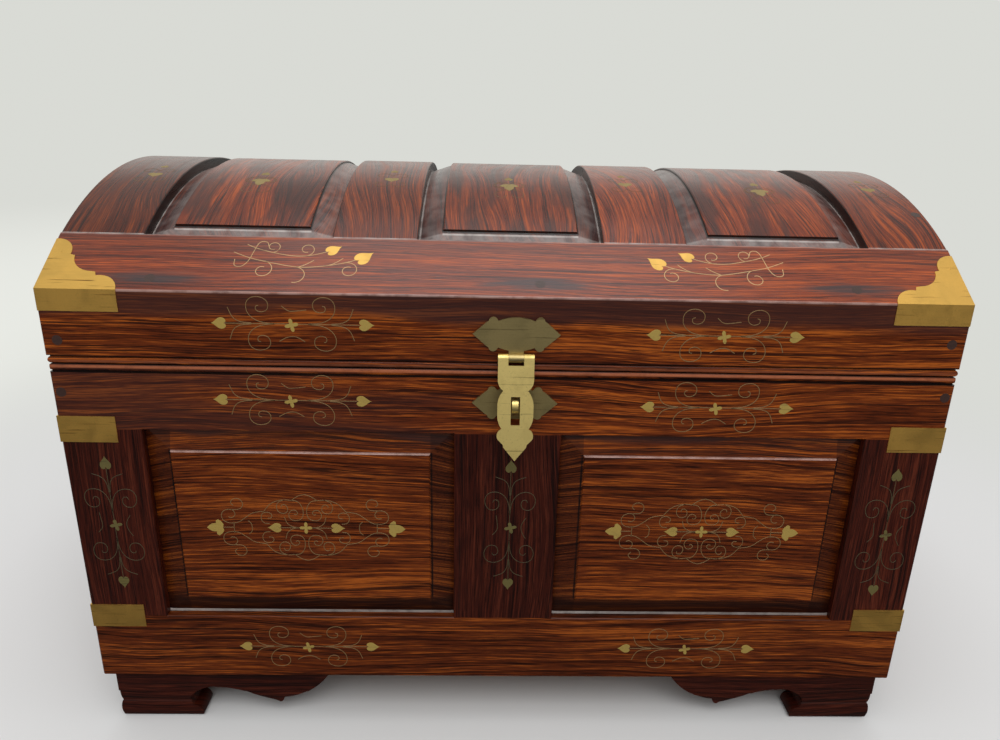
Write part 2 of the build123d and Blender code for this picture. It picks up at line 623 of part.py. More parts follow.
def lid():
    """The lid's boards, ribs and curved panels."""
    beads = bead_cutters(LID_BOTTOM, 1)
    bend = eased_bend()
    bends = [bend, mirror(bend, about=Plane.XZ)]
    pockets = [hinge_pocket(x, 1) for x in (-HINGE_X, HINGE_X)]
    screws = [screw(x, 1, SCREW_FIT) for side in (-HINGE_X, HINGE_X)
              for x in screw_places(side)]
    grooves = [tongue_groove(*opening) for opening in lid_openings()]
    rail = [(-HALF_D, LID_BOTTOM), (-HALF_D, LID_EDGE), FRONT_BEND,
            (-HALF_D + LID_BOARD, LID_BOTTOM)]
    front_rail = extrude(outline(Plane.YZ, *rail), HALF_W, both=True)
    back_rail = mirror(front_rail, about=Plane.XZ)
    keep("lid_front_rail", cut(front_rail, *beads, *bends, *BRACKETS))
    keep("lid_back_rail", cut(back_rail, *beads, *bends, *BRACKETS, *pockets, *screws))
    slope = [(-HALF_D, LID_EDGE), SEAM, INNER_SEAM, FRONT_BEND]
    front_slope = extrude(outline(Plane.YZ, *slope), HALF_W, both=True)
    back_slope = mirror(front_slope, about=Plane.XZ)
    keep("lid_front_slope_board", cut(front_slope, *bends, *BRACKETS, *grooves))
    keep("lid_back_slope_board", cut(back_slope, *bends, *BRACKETS, *grooves))
    under = LID_BOARD + CURVE_GAP
    low_end = on_dome(DOME_HALF_ANGLE, under)
    half = [(-HALF_D + LID_BOARD, LID_BOTTOM), FRONT_BEND, low_end]
    over = [((0, DOME_Z + DOME_R - under), (-low_end[0], low_end[1])),
            (-FRONT_BEND[0], FRONT_BEND[1]), (HALF_D - LID_BOARD, LID_BOTTOM)]
    end = Pos(-HALF_W, 0, 0) * extrude(outline(Plane.YZ, *half, *over), LID_BOARD)
    keep("lid_left_end_board", cut(end, *beads, *BRACKETS))
    keep("lid_right_end_board", cut(mirror(end, about=Plane.YZ), *beads, *BRACKETS))
    place, wide = MIDDLE_RIB_PLACE, MIDDLE_RIB / 2
    ribs = {"lid_left_end_rib": (-HALF_W, -HALF_W + END_RIB),
            "lid_left_middle_rib": (-place - wide, -place + wide),
            "lid_right_middle_rib": (place - wide, place + wide),
            "lid_right_end_rib": (HALF_W - END_RIB, HALF_W)}
    for name, (low, high) in ribs.items():
        section = [(low, LID_BOARD), (low, EDGE_EASE), (low + EDGE_EASE, 0),
                   (high - EDGE_EASE, 0), (high, EDGE_EASE), (high, LID_BOARD)]
        keep(name, cut(bent(section, DOME_HALF_ANGLE), *grooves))
    names = ("lid_left_panel", "lid_centre_panel", "lid_right_panel")
    for name, opening in zip(names, lid_openings()):
        keep(name, curved_panel(*opening))


def hardware():
    """Brass on the case and on the lid."""
    keep("case_corner_straps", *STRAPS)
    keep("lid_corner_brackets", *BRACKETS)
    keep("hasp_lid_plate", hasp_lid_plate())
    half = LEAF_WIDE / 2
    keep("hasp_pin", rod(HASP_X - half, HASP_X + half, PIVOT_Y, PIVOT_Z, HASP_PIN_R))
    keep("hasp_leaf", hasp_leaf())
    keep("staple_plate", cut(hasp_plate(LID_EDGE - STAPLE_DOWN), *staple_legs()))
    keep("hasp_staple", staple())
    sides = (-HINGE_X, HINGE_X)
    keep("hinge_body_leaves", *[hinge_leaf(x, -1) for x in sides])
    keep("hinge_lid_leaves", *[hinge_leaf(x, 1) for x in sides])
    half = HINGE_LENGTH / 2
    keep("hinge_pins", *[rod(x - half, x + half, HINGE_Y, HINGE_Z, HINGE_PIN_R) for x in sides])
    places = [x for side in sides for x in screw_places(side)]
    keep("hinge_body_screws", *[screw(x, -1, 0) for x in places])
    keep("hinge_lid_screws", *[screw(x, 1, 0) for x in places])


def main():
    os.makedirs("parts", exist_ok=True)
    for name, piece in case().items():
        if name == "front_top_rail":
            piece = cut(piece, *staple_legs())
        if name == "back_top_rail":
            for side in (-HINGE_X, HINGE_X):
                piece = cut(piece, hinge_pocket(side, -1))
                piece = cut(piece, *[screw(x, -1, SCREW_FIT) for x in screw_places(side)])
        keep(name, piece)
    keep("bottom_board", bottom_board())
    feet()
    lid()
    hardware()
    every = Compound(children=[solid.moved(Location()) for group in PIECES.values()
                               for solid in group])
    shift = -every.bounding_box().center().Y
    for name, solids in PIECES.items():
        placed = [Pos(0, shift, 0) * solid for solid in solids]
        shape = placed[0] if len(placed) == 1 else Compound(children=placed)
        export_step(shape, os.path.join("parts", name + ".step"))
    print(len(PIECES), "pieces, moved back by", round(shift, 3))
    print("lid hinge axis at y", round(HINGE_Y + shift, 3), "z", round(HINGE_Z, 3))
    print("hasp axis at x", HASP_X, "y", round(PIVOT_Y + shift, 3), "z", round(PIVOT_Z, 3))


main()
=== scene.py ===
"""The finish of a dome-top wooden chest: lacquered rosewood, inlaid brass wire and brass fittings."""

import math
import random

import bmesh
import bpy
from mathutils import Matrix, Vector


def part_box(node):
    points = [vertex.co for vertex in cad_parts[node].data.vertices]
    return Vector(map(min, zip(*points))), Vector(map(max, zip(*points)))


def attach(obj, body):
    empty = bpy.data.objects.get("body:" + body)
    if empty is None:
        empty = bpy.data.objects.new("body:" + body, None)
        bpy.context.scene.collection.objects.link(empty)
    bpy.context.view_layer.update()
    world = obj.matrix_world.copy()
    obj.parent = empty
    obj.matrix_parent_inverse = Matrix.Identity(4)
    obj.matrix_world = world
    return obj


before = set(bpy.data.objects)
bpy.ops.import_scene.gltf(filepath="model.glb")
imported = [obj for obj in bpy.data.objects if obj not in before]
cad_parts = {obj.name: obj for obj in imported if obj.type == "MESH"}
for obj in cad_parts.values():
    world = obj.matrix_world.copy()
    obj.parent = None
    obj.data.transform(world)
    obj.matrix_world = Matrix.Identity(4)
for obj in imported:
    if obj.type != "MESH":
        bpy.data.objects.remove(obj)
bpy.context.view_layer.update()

bl_info = {
    "name": "Dome-top chest finish",
    "version": (1, 0, 0),
    "blender": (4, 5, 0),
    "location": "3D View > Sidebar > Chest",
    "description": "Dresses the chest with its wood, inlay, brass and studio",
    "category": "Object",
}

MM = 0.001

# Lines of the chest, from its own boards
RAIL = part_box("lid_front_rail")
SLOPE_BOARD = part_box("lid_front_slope_board")
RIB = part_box("lid_left_end_rib")
FACE_Y = RAIL[0].y
SEAM_Y, SEAM_Z = RIB[0].y, SLOPE_BOARD[1].z
APEX_Z = RIB[1].z
DOME_Y = (RIB[0].y + RIB[1].y) / 2
DOME_CHORD = (RIB[1].y - RIB[0].y) / 2
DOME_SAG = APEX_Z - SEAM_Z
DOME_R = (DOME_CHORD ** 2 + DOME_SAG ** 2) / (2 * DOME_SAG)
DOME_Z = APEX_Z - DOME_R
DOME_HALF_ANGLE = math.asin(DOME_CHORD / DOME_R)
SLOPE = math.radians(36.8)
EDGE_Z = SEAM_Z - (SEAM_Y - FACE_Y) * math.tan(SLOPE)
SLOPE_LENGTH = (SEAM_Y - FACE_Y) / math.cos(SLOPE)
FIELD_DEPTH = 0.5 * MM
DOME_FIELD_DEPTH = 0.4 * MM
TONGUE = 7.0 * MM
SIDE_BEVEL = 17.0 * MM
TOP_BEVEL = 16.0 * MM
DOME_END_BEVEL = 12.0 * MM
DOME_BACK = 11.8 * MM
SLOPE_PLUGS = ((-235, 10.5), (19, 11.5), (230, 11.5))


def number(name, description, default, unit="NONE"):
    """A size in metres, an angle in radians or a plain number."""
    return bpy.props.FloatProperty(name=name, description=description, default=default,
                                   unit=unit)


def tint(name, description, default):
    return bpy.props.FloatVectorProperty(name=name, description=description, default=default,
                                         subtype="COLOR", min=0, max=1)


class ChestSizes(bpy.types.PropertyGroup):
    """Sizes of the inlay, the plugs and the nails."""
    wire_width: number("Wire width", "Seen width of the inlaid wire", 0.5 * MM, "LENGTH")
    trim_height: number("Trim height", "Height of the inlay and plugs, most of it in the wood",
                        0.5 * MM, "LENGTH")
    proud: number("Inlay proud", "How far the inlay stands out of the wood", 0.07 * MM, "LENGTH")
    plug: number("Plug radius", "Radius of the dark plugs over the screws", 3.5 * MM, "LENGTH")
    nail: number("Nail radius", "Radius of the pins in the brass corners", 1.0 * MM, "LENGTH")


class ChestColours(bpy.types.PropertyGroup):
    """Colours of the wood, the brass and the dust, with painted shade, sheen and highlights."""
    front_light: tint("Front light", "Bright streaks of the front", (0.36, 0.082, 0.006))
    front_middle: tint("Front middle", "Most of the front", (0.108, 0.0180, 0.0018))
    front_dark: tint("Front dark", "Dark streaks of the front", (0.020, 0.0036, 0.0012))
    lid_light: tint("Lid light", "Bright flames of the lid", (0.40, 0.072, 0.008))
    lid_middle: tint("Lid middle", "Most of the lid", (0.165, 0.024, 0.006))
    lid_dark: tint("Lid dark", "Dark streaks of the lid", (0.034, 0.005, 0.003))
    stile_light: tint("Stile light", "Bright streaks of the stiles and feet",
                      (0.075, 0.013, 0.0045))
    stile_middle: tint("Stile middle", "Most of the stiles and feet", (0.034, 0.0048, 0.0020))
    stile_dark: tint("Stile dark", "Dark streaks of the stiles and feet", (0.009, 0.0024, 0.0018))
    inner_light: tint("Inner light", "Bright streaks of plain boards", (0.34, 0.18, 0.09))
    inner_middle: tint("Inner middle", "Most of the plain boards", (0.24, 0.115, 0.055))
    inner_dark: tint("Inner dark", "Dark streaks of plain boards", (0.13, 0.06, 0.03))
    heartwood: tint("Heartwood", "Purple-brown bands of the heart", (0.036, 0.0125, 0.0105))
    stain: tint("Stain", "Grey-blue stain by the plugs", (0.030, 0.024, 0.027))
    plug: tint("Plug", "End grain of the plugs", (0.034, 0.013, 0.009))
    plate: tint("Corner brass", "Aged brass of the corners", (0.64, 0.345, 0.085))
    hasp: tint("Hasp brass", "Olive brass of the hasp's plates", (0.31, 0.24, 0.108))
    leaf: tint("Leaf brass", "Brighter brass of the hasp's leaf", (0.50, 0.385, 0.145))
    # Also laid as painted sheen: over the dome's top, on its front bevels and along the front panels'
    # ledge.
    dust_and_sheen: tint("Dust", "Dust and polish left in the corners", (0.55, 0.50, 0.47))
    # Also laid as painted shade: in the beads' quirks, beside and under the raised fields, round the
    # dome's fields and on the ribs' sides.
    grime_and_shade: tint("Grime", "Black dirt in the joints", (0.004, 0.003, 0.003))
    # A painted highlight along the beads.
    bead_highlight: tint("Rubbed bead", "Light line along the beads", (0.34, 0.105, 0.045))
    # Worn lacquer with a painted highlight, laid along the field's top edge, the slope's front edge
    # and the lid rail's top edge.
    wear_and_highlight: tint("Worn edge", "Worn lacquer along an edge", (0.46, 0.29, 0.25))


class ChestStudio(bpy.types.PropertyGroup):
    """The camera's place and the light."""
    camera_place: bpy.props.FloatVectorProperty(
        name="Camera place", description="From the middle of the lid's front edge",
        subtype="TRANSLATION", default=(-0.01883, -0.46705, 0.10494))
    camera_down: number("Camera down", "How far the camera looks down", 0.3203, "ROTATION")
    camera_roll: number("Camera roll", "How far the camera leans", 0.024, "ROTATION")
    camera_turn: number("Camera turn", "How far the camera turns to the right", 0.0265, "ROTATION")
    lens: number("Lens", "Focal length on a 36 mm sensor, in millimetres", 26.46)
    backdrop: tint("Backdrop", "Pale grey behind and under the chest", (0.695, 0.705, 0.665))
    mirrored_floor: number("Mirrored floor", "How bright the lacquer and brass mirror the floor",
                           0.11)
    ambient: number("Ambient", "Strength of the light from all round", 0.56)
    overhead: number("Overhead light", "Power of the lamp over the chest, in watts", 13.0)
    front_fill: number("Front light", "Power of the lamp behind the camera, in watts", 26.0)


def settings():
    """The three groups of settings: sizes, colours and studio."""
    return [getattr(bpy.context.scene, name) for name in GROUPS]


def linked(name, data):
    """A new object in the scene."""
    made = bpy.data.objects.new(name, data)
    bpy.context.scene.collection.objects.link(made)
    return made


# Node building
def node(tree, kind, inputs=None, **values):
    """A node with its values set; an input may be a value or another node's output."""
    made = tree.nodes.new(kind)
    for name, value in values.items():
        setattr(made, name, value)
    for name, value in (inputs or {}).items():
        socket = made.inputs[name]
        if isinstance(value, bpy.types.NodeSocket):
            tree.links.new(value, socket)
        else:
            socket.default_value = value
    return made


def maths(tree, operation, first, second=0.0, third=0.0, clamp=False):
    made = node(tree, "ShaderNodeMath", {0: first, 1: second, 2: third}, operation=operation)
    made.use_clamp = clamp
    return made.outputs[0]


def between(tree, value, low, high, to_low=0.0, to_high=1.0):
    """A value taken from one range to another, with soft ends."""
    made = node(tree, "ShaderNodeMapRange", {"Value": value, "From Min": low,
                "From Max": high, "To Min": to_low, "To Max": to_high})
    made.interpolation_type = "SMOOTHSTEP"
    return made.outputs["Result"]


def band(tree, value, low, high, soft=0.3 * MM):
    """1 where a value lies between two others, with soft ends."""
    rise = between(tree, value, low - soft, low + soft)
    fall = between(tree, value, high - soft, high + soft, 1.0, 0.0)
    return maths(tree, "MULTIPLY", rise, fall)


def mixed(tree, factor, first, second):
    """Two colours mixed; each may be a colour or an output."""
    first, second = (value if isinstance(value, bpy.types.NodeSocket) else (*value[:3], 1)
                     for value in (first, second))
    return node(tree, "ShaderNodeMix", {0: factor, 6: first, 7: second},
                data_type="RGBA").outputs[2]


def scaled(colour, share):
    return [part * share for part in colour]


def diagonal(tree, first, second):
    """The length of the diagonal over two values."""
    return maths(tree, "SQRT", maths(tree, "ADD", maths(tree, "POWER", first, 2.0),
                                     maths(tree, "POWER", second, 2.0)))


def noise(tree, vector, scale, detail=3.0, roughness=0.5, distortion=0.0):
    return node(tree, "ShaderNodeTexNoise", {"Vector": vector, "Scale": scale,
                "Detail": detail, "Roughness": roughness,
                "Distortion": distortion}).outputs[0]


def stretched(tree, vector, scale, move=(0, 0, 0)):
    return node(tree, "ShaderNodeMapping",
                {"Vector": vector, "Scale": scale, "Location": move}).outputs[0]


def new_material(name):
    material = bpy.data.materials.new(name)
    material.use_nodes = True
    material.node_tree.nodes.clear()
    return material, material.node_tree


def finish_material(tree, shader):
    node(tree, "ShaderNodeOutputMaterial", {"Surface": shader})


def finish_surface(tree, inputs, relief, strength):
    """Ends a material in one shader, with the relief as a fine bump."""
    bump = node(tree, "ShaderNodeBump", {"Height": relief, "Strength": strength,
                                         "Distance": 0.05 * MM})
    inputs["Normal"] = bump.outputs[0]
    finish_material(tree, node(tree, "ShaderNodeBsdfPrincipled", inputs).outputs[0])


def either(tree, factor, first, second):
    """Two shaders mixed."""
    return node(tree, "ShaderNodeMixShader",
                {0: factor, 1: first.outputs[0], 2: second.outputs[0]})


def object_point(tree):
    return node(tree, "ShaderNodeTexCoord").outputs["Object"]


def round_dome(tree, point):
    """The point as way across, way round the dome and height over its axis."""
    parts = node(tree, "ShaderNodeSeparateXYZ", {0: point})
    back = maths(tree, "SUBTRACT", parts.outputs[1], DOME_Y)
    up = maths(tree, "SUBTRACT", parts.outputs[2], DOME_Z)
    around = maths(tree, "MULTIPLY", maths(tree, "ARCTAN2", back, up), DOME_R)
    radius = diagonal(tree, back, up)
    made = node(tree, "ShaderNodeCombineXYZ",
                {0: parts.outputs[0], 1: around, 2: radius})
    return made.outputs[0], around, radius


# Wood
def banded(tree, flow, long, wide, detail=2.0, roughness=0.5):
    """Noise about zero that is long along the grain and narrow across it."""
    fine = noise(tree, stretched(tree, flow, (long, wide, wide), (long, wide, 0)), 1.0, detail,
                 roughness)
    return maths(tree, "SUBTRACT", fine, 0.5)


def figure(tree, along, light, middle, dark, bend=0.034):
    """Rosewood: the colour and the relief of its grain, for a point whose X runs along it."""
    parts = node(tree, "ShaderNodeSeparateXYZ", {0: along})
    across = maths(tree, "MULTIPLY_ADD", parts.outputs[2], 0.83, parts.outputs[1])
    wander = banded(tree, along, 3.2, 9)
    ring = maths(tree, "MULTIPLY_ADD", wander, bend, across)
    flow = node(tree, "ShaderNodeCombineXYZ", {0: parts.outputs[0], 1: ring}).outputs[0]
    streaks = banded(tree, flow, 5, 250, 5, 0.75)
    fibres = banded(tree, flow, 50, 2200, 2)
    tone = maths(tree, "MULTIPLY_ADD", banded(tree, flow, 1.4, 34), 0.8, 0.52)
    tone = maths(tree, "MULTIPLY_ADD", streaks, 1.9, tone)
    tone = maths(tree, "MULTIPLY_ADD", banded(tree, flow, 14, 950, 3, 0.6), 1.9, tone)
    tone = maths(tree, "MULTIPLY_ADD", fibres, 1.3, tone)
    colour = mixed(tree, between(tree, tone, 0.02, 0.46), dark, middle)
    colour = mixed(tree, between(tree, tone, 0.48, 1.0), colour, light)
    vein = band(tree, banded(tree, flow, 4, 330, 4, 0.6), 0.09, 0.16, 0.02)
    colour = mixed(tree, maths(tree, "MULTIPLY", vein, 0.9), colour, dark)
    pores = between(tree, banded(tree, along, 70, 2000), 0.08, 0.16)
    colour = mixed(tree, maths(tree, "MULTIPLY", pores, 0.6), colour, scaled(dark, 0.5))
    relief = maths(tree, "MULTIPLY_ADD", fibres, 0.5, maths(tree, "MULTIPLY", pores, -0.6))
    return colour, relief, streaks


TURNS = {"x": (0, 0, 0), "y": (0, 0, math.radians(90)), "z": (0, math.radians(90), 0)}


class Spot:
    """The point that a board's material colours, and its colour so far."""

    def __init__(self, tree):
        self.tree = tree
        self.colour = None
        self.point = object_point(tree)
        self.x, self.y, self.z = node(tree, "ShaderNodeSeparateXYZ", {0: self.point}).outputs
        self.bent, self.around, self.radius = round_dome(tree, self.point)
        self.patches = noise(tree, stretched(tree, self.point, (90, 90, 90)), 1.0, 4, 0.6)

    def minus(self, first, second):
        return maths(self.tree, "SUBTRACT", first, second)

    def away(self, value, middle, half):
        """How far a value lies outside a stretch about its middle."""
        return self.minus(maths(self.tree, "ABSOLUTE", self.minus(value, middle)), half)

    def patchy(self, low, high):
        """A share that comes and goes over the board."""
        return between(self.tree, self.patches, 0.3, 0.6, low, high)

    def lay(self, kind, *shares):
        """Lays one of the chest's colours over the board by the product of the shares."""
        amount = shares[0]
        for share in shares[1:]:
            amount = maths(self.tree, "MULTIPLY", amount, share)
        self.colour = mixed(self.tree, amount, self.colour, getattr(settings()[1], kind))


def wood(name, grain, palette, seed, gloss, marks, polish):
    """One board's rosewood: its grain along x, y or z, or round the dome."""
    material, tree = new_material(name)
    spot = Spot(tree)
    bent = spot.bent if grain == "round" else spot.point
    draw = random.Random(seed)
    move = [draw.uniform(-4, 4) for _ in range(3)]
    along = node(tree, "ShaderNodeMapping", {"Vector": bent, "Location": move,
                 "Rotation": TURNS["y" if grain == "round" else grain]}).outputs[0]
    spot.colour, relief, streaks = figure(tree, along, *palette)
    if marks:
        marks(spot, name)
    rough = between(tree, streaks, -0.2, 0.2, polish - 0.04, polish + 0.10)
    look = {"Base Color": spot.colour, "Roughness": rough, "Specular IOR Level": gloss}
    finish_surface(tree, look, relief, 0.35)
    return material


def panel_marks(spot, name):
    """Heartwood on the top bevel, painted shade on the bottom bevel, beside the field and under it,
    darker side bevels, a painted highlight with wear on the field's top edge and dust with painted
    sheen along the ledge.
    """
    tree = spot.tree
    low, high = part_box(name)
    on_end = "_end_" in name
    across, first, last = (spot.y, low.y, high.y) if on_end else (spot.x, low.x, high.x)
    beside = spot.away(across, (first + last) / 2, (last - first) / 2 - TONGUE - SIDE_BEVEL)
    top, foot = high.z - TONGUE - TOP_BEVEL, low.z + TONGUE + TOP_BEVEL
    over, under = spot.minus(spot.z, top), spot.minus(foot, spot.z)
    ragged = maths(tree, "MULTIPLY_ADD", banded(tree, spot.point, 9, 9), 0.03, over)
    spot.lay("heartwood", between(tree, ragged, 8 * MM, 12 * MM, 0, 0.75))
    # Painted shade over the bottom bevel, which faces down.
    spot.lay("stile_dark", between(tree, under, -4 * MM, 4 * MM, 0, 0.85))
    # Darker side bevels.
    spot.lay("stile_dark", between(tree, beside, 0, 0.6 * MM, 0, 0.45))
    level = between(tree, spot.away(spot.z, (top + foot) / 2, (top - foot) / 2), 0, 0.4 * MM, 1, 0)
    upright = between(tree, beside, 0, 0.4 * MM, 1, 0)
    # Painted shade: dark lines beside the field's sides, where it steps down to the bevels.
    spot.lay("grime_and_shade", band(tree, beside, 0.5 * MM, 1.7 * MM), level, spot.patchy(0.5, 0.95))
    # Painted highlight, with wear, along the field's top edge.
    spot.lay("wear_and_highlight", band(tree, over, -0.75 * MM, 0.1 * MM, 0.15 * MM), upright,
             spot.patchy(0.45, 0.85))
    # Painted shade along the field's bottom edge.
    spot.lay("grime_and_shade", band(tree, under, 0.1 * MM, 0.8 * MM, 0.15 * MM), upright, 0.8)
    # Dust with a painted sheen along the ledge, stronger toward the left end.
    ledge = spot.minus(spot.z, low.z + TONGUE)
    to_left = between(tree, across, first, first + 0.07, 1.0, 0.72)
    spot.lay("dust_and_sheen", band(tree, ledge, -2 * MM, 2.3 * MM), spot.patchy(0.55, 1.0), to_left)


def dome_marks(spot, name):
    """Painted shade as a black line round the field; dust under it, on the bevels and by the ribs,
    with painted sheen on the front bevels and over the top.
    """
    tree, plain = spot.tree, spot.colour
    low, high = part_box(name)
    half = (high.x - low.x) / 2 - TONGUE
    middle = (low.x + high.x) / 2
    beside = spot.away(spot.x, middle, half - SIDE_BEVEL)
    before = spot.away(spot.around, 0.0, DOME_R * DOME_HALF_ANGLE - DOME_END_BEVEL)
    outside = maths(tree, "MAXIMUM", beside, before)
    bevels = between(tree, outside, 0, 0.5 * MM)
    patchy = spot.patchy(0.35, 1.0)
    spot.lay("heartwood", between(tree, banded(tree, spot.bent, 60, 14, 3), -0.12, 0.06, 0.75, 0))
    spot.lay("stain", bevels, 0.45)
    spot.lay("dust_and_sheen", bevels, between(tree, spot.patches, 0.3, 0.8, 0.0, 0.14))
    # Dust with a painted sheen on the front bevels.
    spot.lay("dust_and_sheen", between(tree, before, 1 * MM, 3 * MM), spot.patchy(0.12, 0.30))
    # Painted shade: a black line where the field steps down.
    spot.lay("grime_and_shade", band(tree, outside, -0.1 * MM, 0.9 * MM, 0.15 * MM), 0.9)
    within = between(tree, beside, 0, 1 * MM, 1, 0)
    spot.lay("dust_and_sheen", band(tree, before, 1.5 * MM, 2.6 * MM), within, patchy, 0.85)
    # Painted sheen over the top of the dome.
    paint_top_sheen(spot)
    to_rib = spot.away(spot.x, middle, half)
    spot.lay("dust_and_sheen", between(tree, to_rib, -1.6 * MM, -0.6 * MM), patchy, 0.8)
    outer = between(tree, spot.radius, DOME_R - DOME_BACK, DOME_R - DOME_BACK + 1 * MM)
    spot.colour = mixed(tree, outer, plain, spot.colour)


def paint_top_sheen(spot):
    """A pale painted sheen over the top of the dome, laid in the dust colour."""
    spot.lay("dust_and_sheen", between(spot.tree, spot.away(spot.around, 0, 0), 0.02, 0.10, 0.26, 0.0),
             between(spot.tree, spot.patches, 0.3, 0.7, 0.7, 1.0))


def slope_marks(spot, name):
    """Grey-blue stain along the grain by each plug, a painted highlight with wear on the front edge
    and a dusty seam.
    """
    tree = spot.tree
    inward = spot.minus(DOME_Y - FACE_Y, spot.away(spot.y, DOME_Y, 0.0))
    up = maths(tree, "DIVIDE", inward, math.cos(SLOPE))
    spot.lay("heartwood", between(tree, banded(tree, spot.point, 2.2, 45, 3), -0.02, 0.12, 0, 0.6),
             between(tree, up, 12 * MM, 34 * MM, 1.0, 0.55))
    for x, middle in SLOPE_PLUGS:
        long = maths(tree, "DIVIDE", spot.minus(spot.x, x * MM), 44 * MM)
        wide = maths(tree, "DIVIDE", spot.minus(up, middle * MM), 7 * MM)
        ragged = maths(tree, "MULTIPLY_ADD", banded(tree, spot.point, 30, 400), 1.6,
                       diagonal(tree, long, wide))
        spot.lay("stain", between(tree, ragged, 0.2, 1.1, 0.85, 0))
    patchy = spot.patchy(0.25, 0.6)
    # Painted highlight, with wear, along the front edge.
    spot.lay("wear_and_highlight", between(tree, up, 0.5 * MM, 1.0 * MM, 1, 0), patchy)
    seam = between(tree, up, SLOPE_LENGTH - 1.3 * MM, SLOPE_LENGTH - 0.6 * MM)
    spot.lay("dust_and_sheen", seam, patchy, 0.4)


def top_rail_marks(spot, name):
    """More heartwood toward the left, a painted highlight on the bead, painted shade in the line
    under it and dirt in the joint at the top.
    """
    tree = spot.tree
    ragged = maths(tree, "MULTIPLY_ADD", banded(tree, spot.point, 4, 60), 0.5, spot.x)
    spot.lay("heartwood", between(tree, ragged, -0.22, -0.02, 0.6, 0))
    bead_marks(spot, spot.minus(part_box(name)[1].z, spot.z), 0.8)


def bead_marks(spot, from_edge, glint):
    """A painted highlight along a bead, painted shade in the quirk beside it, and dirt in the joint.
    """
    tree = spot.tree
    bead_glint = between(tree, spot.patches, 0.25, 0.6, 0.5 * glint, glint)
    # Painted highlight along the bead.
    spot.lay("bead_highlight", band(tree, from_edge, 0.8 * MM, 2.6 * MM, 0.5 * MM), bead_glint)
    # Painted shade in the quirk.
    spot.lay("grime_and_shade", band(tree, from_edge, 4.5 * MM, 5.9 * MM, 0.2 * MM), 0.9)
    # Dirt in the joint.
    spot.lay("grime_and_shade", between(tree, from_edge, 0.2 * MM, 0.6 * MM, 0.9, 0))


def lid_rail_marks(spot, name):
    """Purple heartwood over the upper half of the lid's front, and a painted highlight with wear
    along its top edge.
    """
    tree = spot.tree
    down = spot.minus(EDGE_Z, spot.z)
    ragged = maths(tree, "MULTIPLY_ADD", banded(tree, spot.point, 4, 20), 0.045, down)
    spot.lay("heartwood", between(tree, ragged, 15 * MM, 25 * MM, 0.78, 0))
    bead_marks(spot, spot.minus(spot.z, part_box(name)[0].z), 0.35)
    # Painted highlight, with wear, along the top edge.
    spot.lay("wear_and_highlight", between(tree, down, 0.9 * MM, 1.4 * MM, 1, 0), spot.patchy(0.2, 0.5))


def rib_marks(spot, name):
    """Dust at the rib's foot, painted sheen over its top, and painted shade along its sides."""
    tree = spot.tree
    low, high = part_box(name)
    foot = spot.away(spot.around, 0.0, DOME_R * DOME_HALF_ANGLE)
    spot.lay("dust_and_sheen", between(tree, foot, -1.2 * MM, -0.4 * MM), spot.patchy(0.2, 0.6))
    # Painted sheen over the top.
    paint_top_sheen(spot)
    edge = spot.away(spot.x, (low.x + high.x) / 2, (high.x - low.x) / 2)
    # Painted shade on the rib's sides and the edge beside them.
    spot.lay("grime_and_shade", between(tree, edge, -0.5 * MM, -0.2 * MM), 0.85)


# Scales each board's colours: partly its own tone, partly painted shade that makes the left-hand
# boards darker.
SHADE_AND_TONE = {"lid_left_end_rib": 0.42, "lid_left_middle_rib": 0.62, "lid_right_middle_rib": 0.95,
          "lid_right_end_rib": 0.75, "lid_centre_panel": 0.80, "lid_left_panel": 0.90,
          "lid_right_panel": 0.95, "lid_front_rail": 0.95, "front_bottom_rail": 0.78,
          "front_left_panel": 0.86, "front_right_panel": 0.9,
          "front_left_stile": 1.1, "front_right_stile": 1.2}


def boards():
    """Every wooden piece with its grain, its palette, its gloss, its marks and its polish."""
    front, lid, stile, inner = (
        [getattr(settings()[1], kind + part) for part in ("_light", "_middle", "_dark")]
        for kind in ("front", "lid", "stile", "inner"))
    flame = [*lid, 0.10]
    found = []
    for name in sorted(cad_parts):
        of_lid = name.startswith("lid_")
        on_end = "_end_" in name and not of_lid
        grain = "y" if on_end or name.endswith("side_bracket") else "x"
        if name in ("bottom_board", "foot_glue_blocks"):
            look = ("x", inner, 0.25, None, 0.5)
        elif name.startswith("foot_"):
            look = (grain, stile, 0.14, None, 0.36)
        elif of_lid and "rib" in name:
            look = ("round", flame, 0.30, rib_marks, 0.27)
        elif of_lid and "panel" in name:
            look = ("round", flame, 0.30, dome_marks, 0.27)
        elif of_lid and "slope" in name:
            look = ("x", lid, 0.45, slope_marks, 0.27)
        elif of_lid and "end_board" in name:
            look = ("y", front, 0.35, None, 0.32)
        elif name == "lid_front_rail":
            look = ("x", front, 0.14, lid_rail_marks, 0.32)
        elif name == "front_top_rail":
            look = ("x", front, 0.14, top_rail_marks, 0.32)
        elif "stile" in name:
            look = ("z", stile, 0.14, None, 0.32)
        elif "rail" in name:
            look = (grain, front, 0.14, None, 0.32)
        elif "panel" in name:
            look = (grain, front, 0.14, None if name.startswith("back_") else panel_marks, 0.32)
        else:
            continue
        found.append((name, *look))
    return found


def dress(name, material):
    """Gives a piece of the frame one material all over."""
    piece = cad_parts[name]
    piece.data.materials.clear()
    piece.data.materials.append(material)


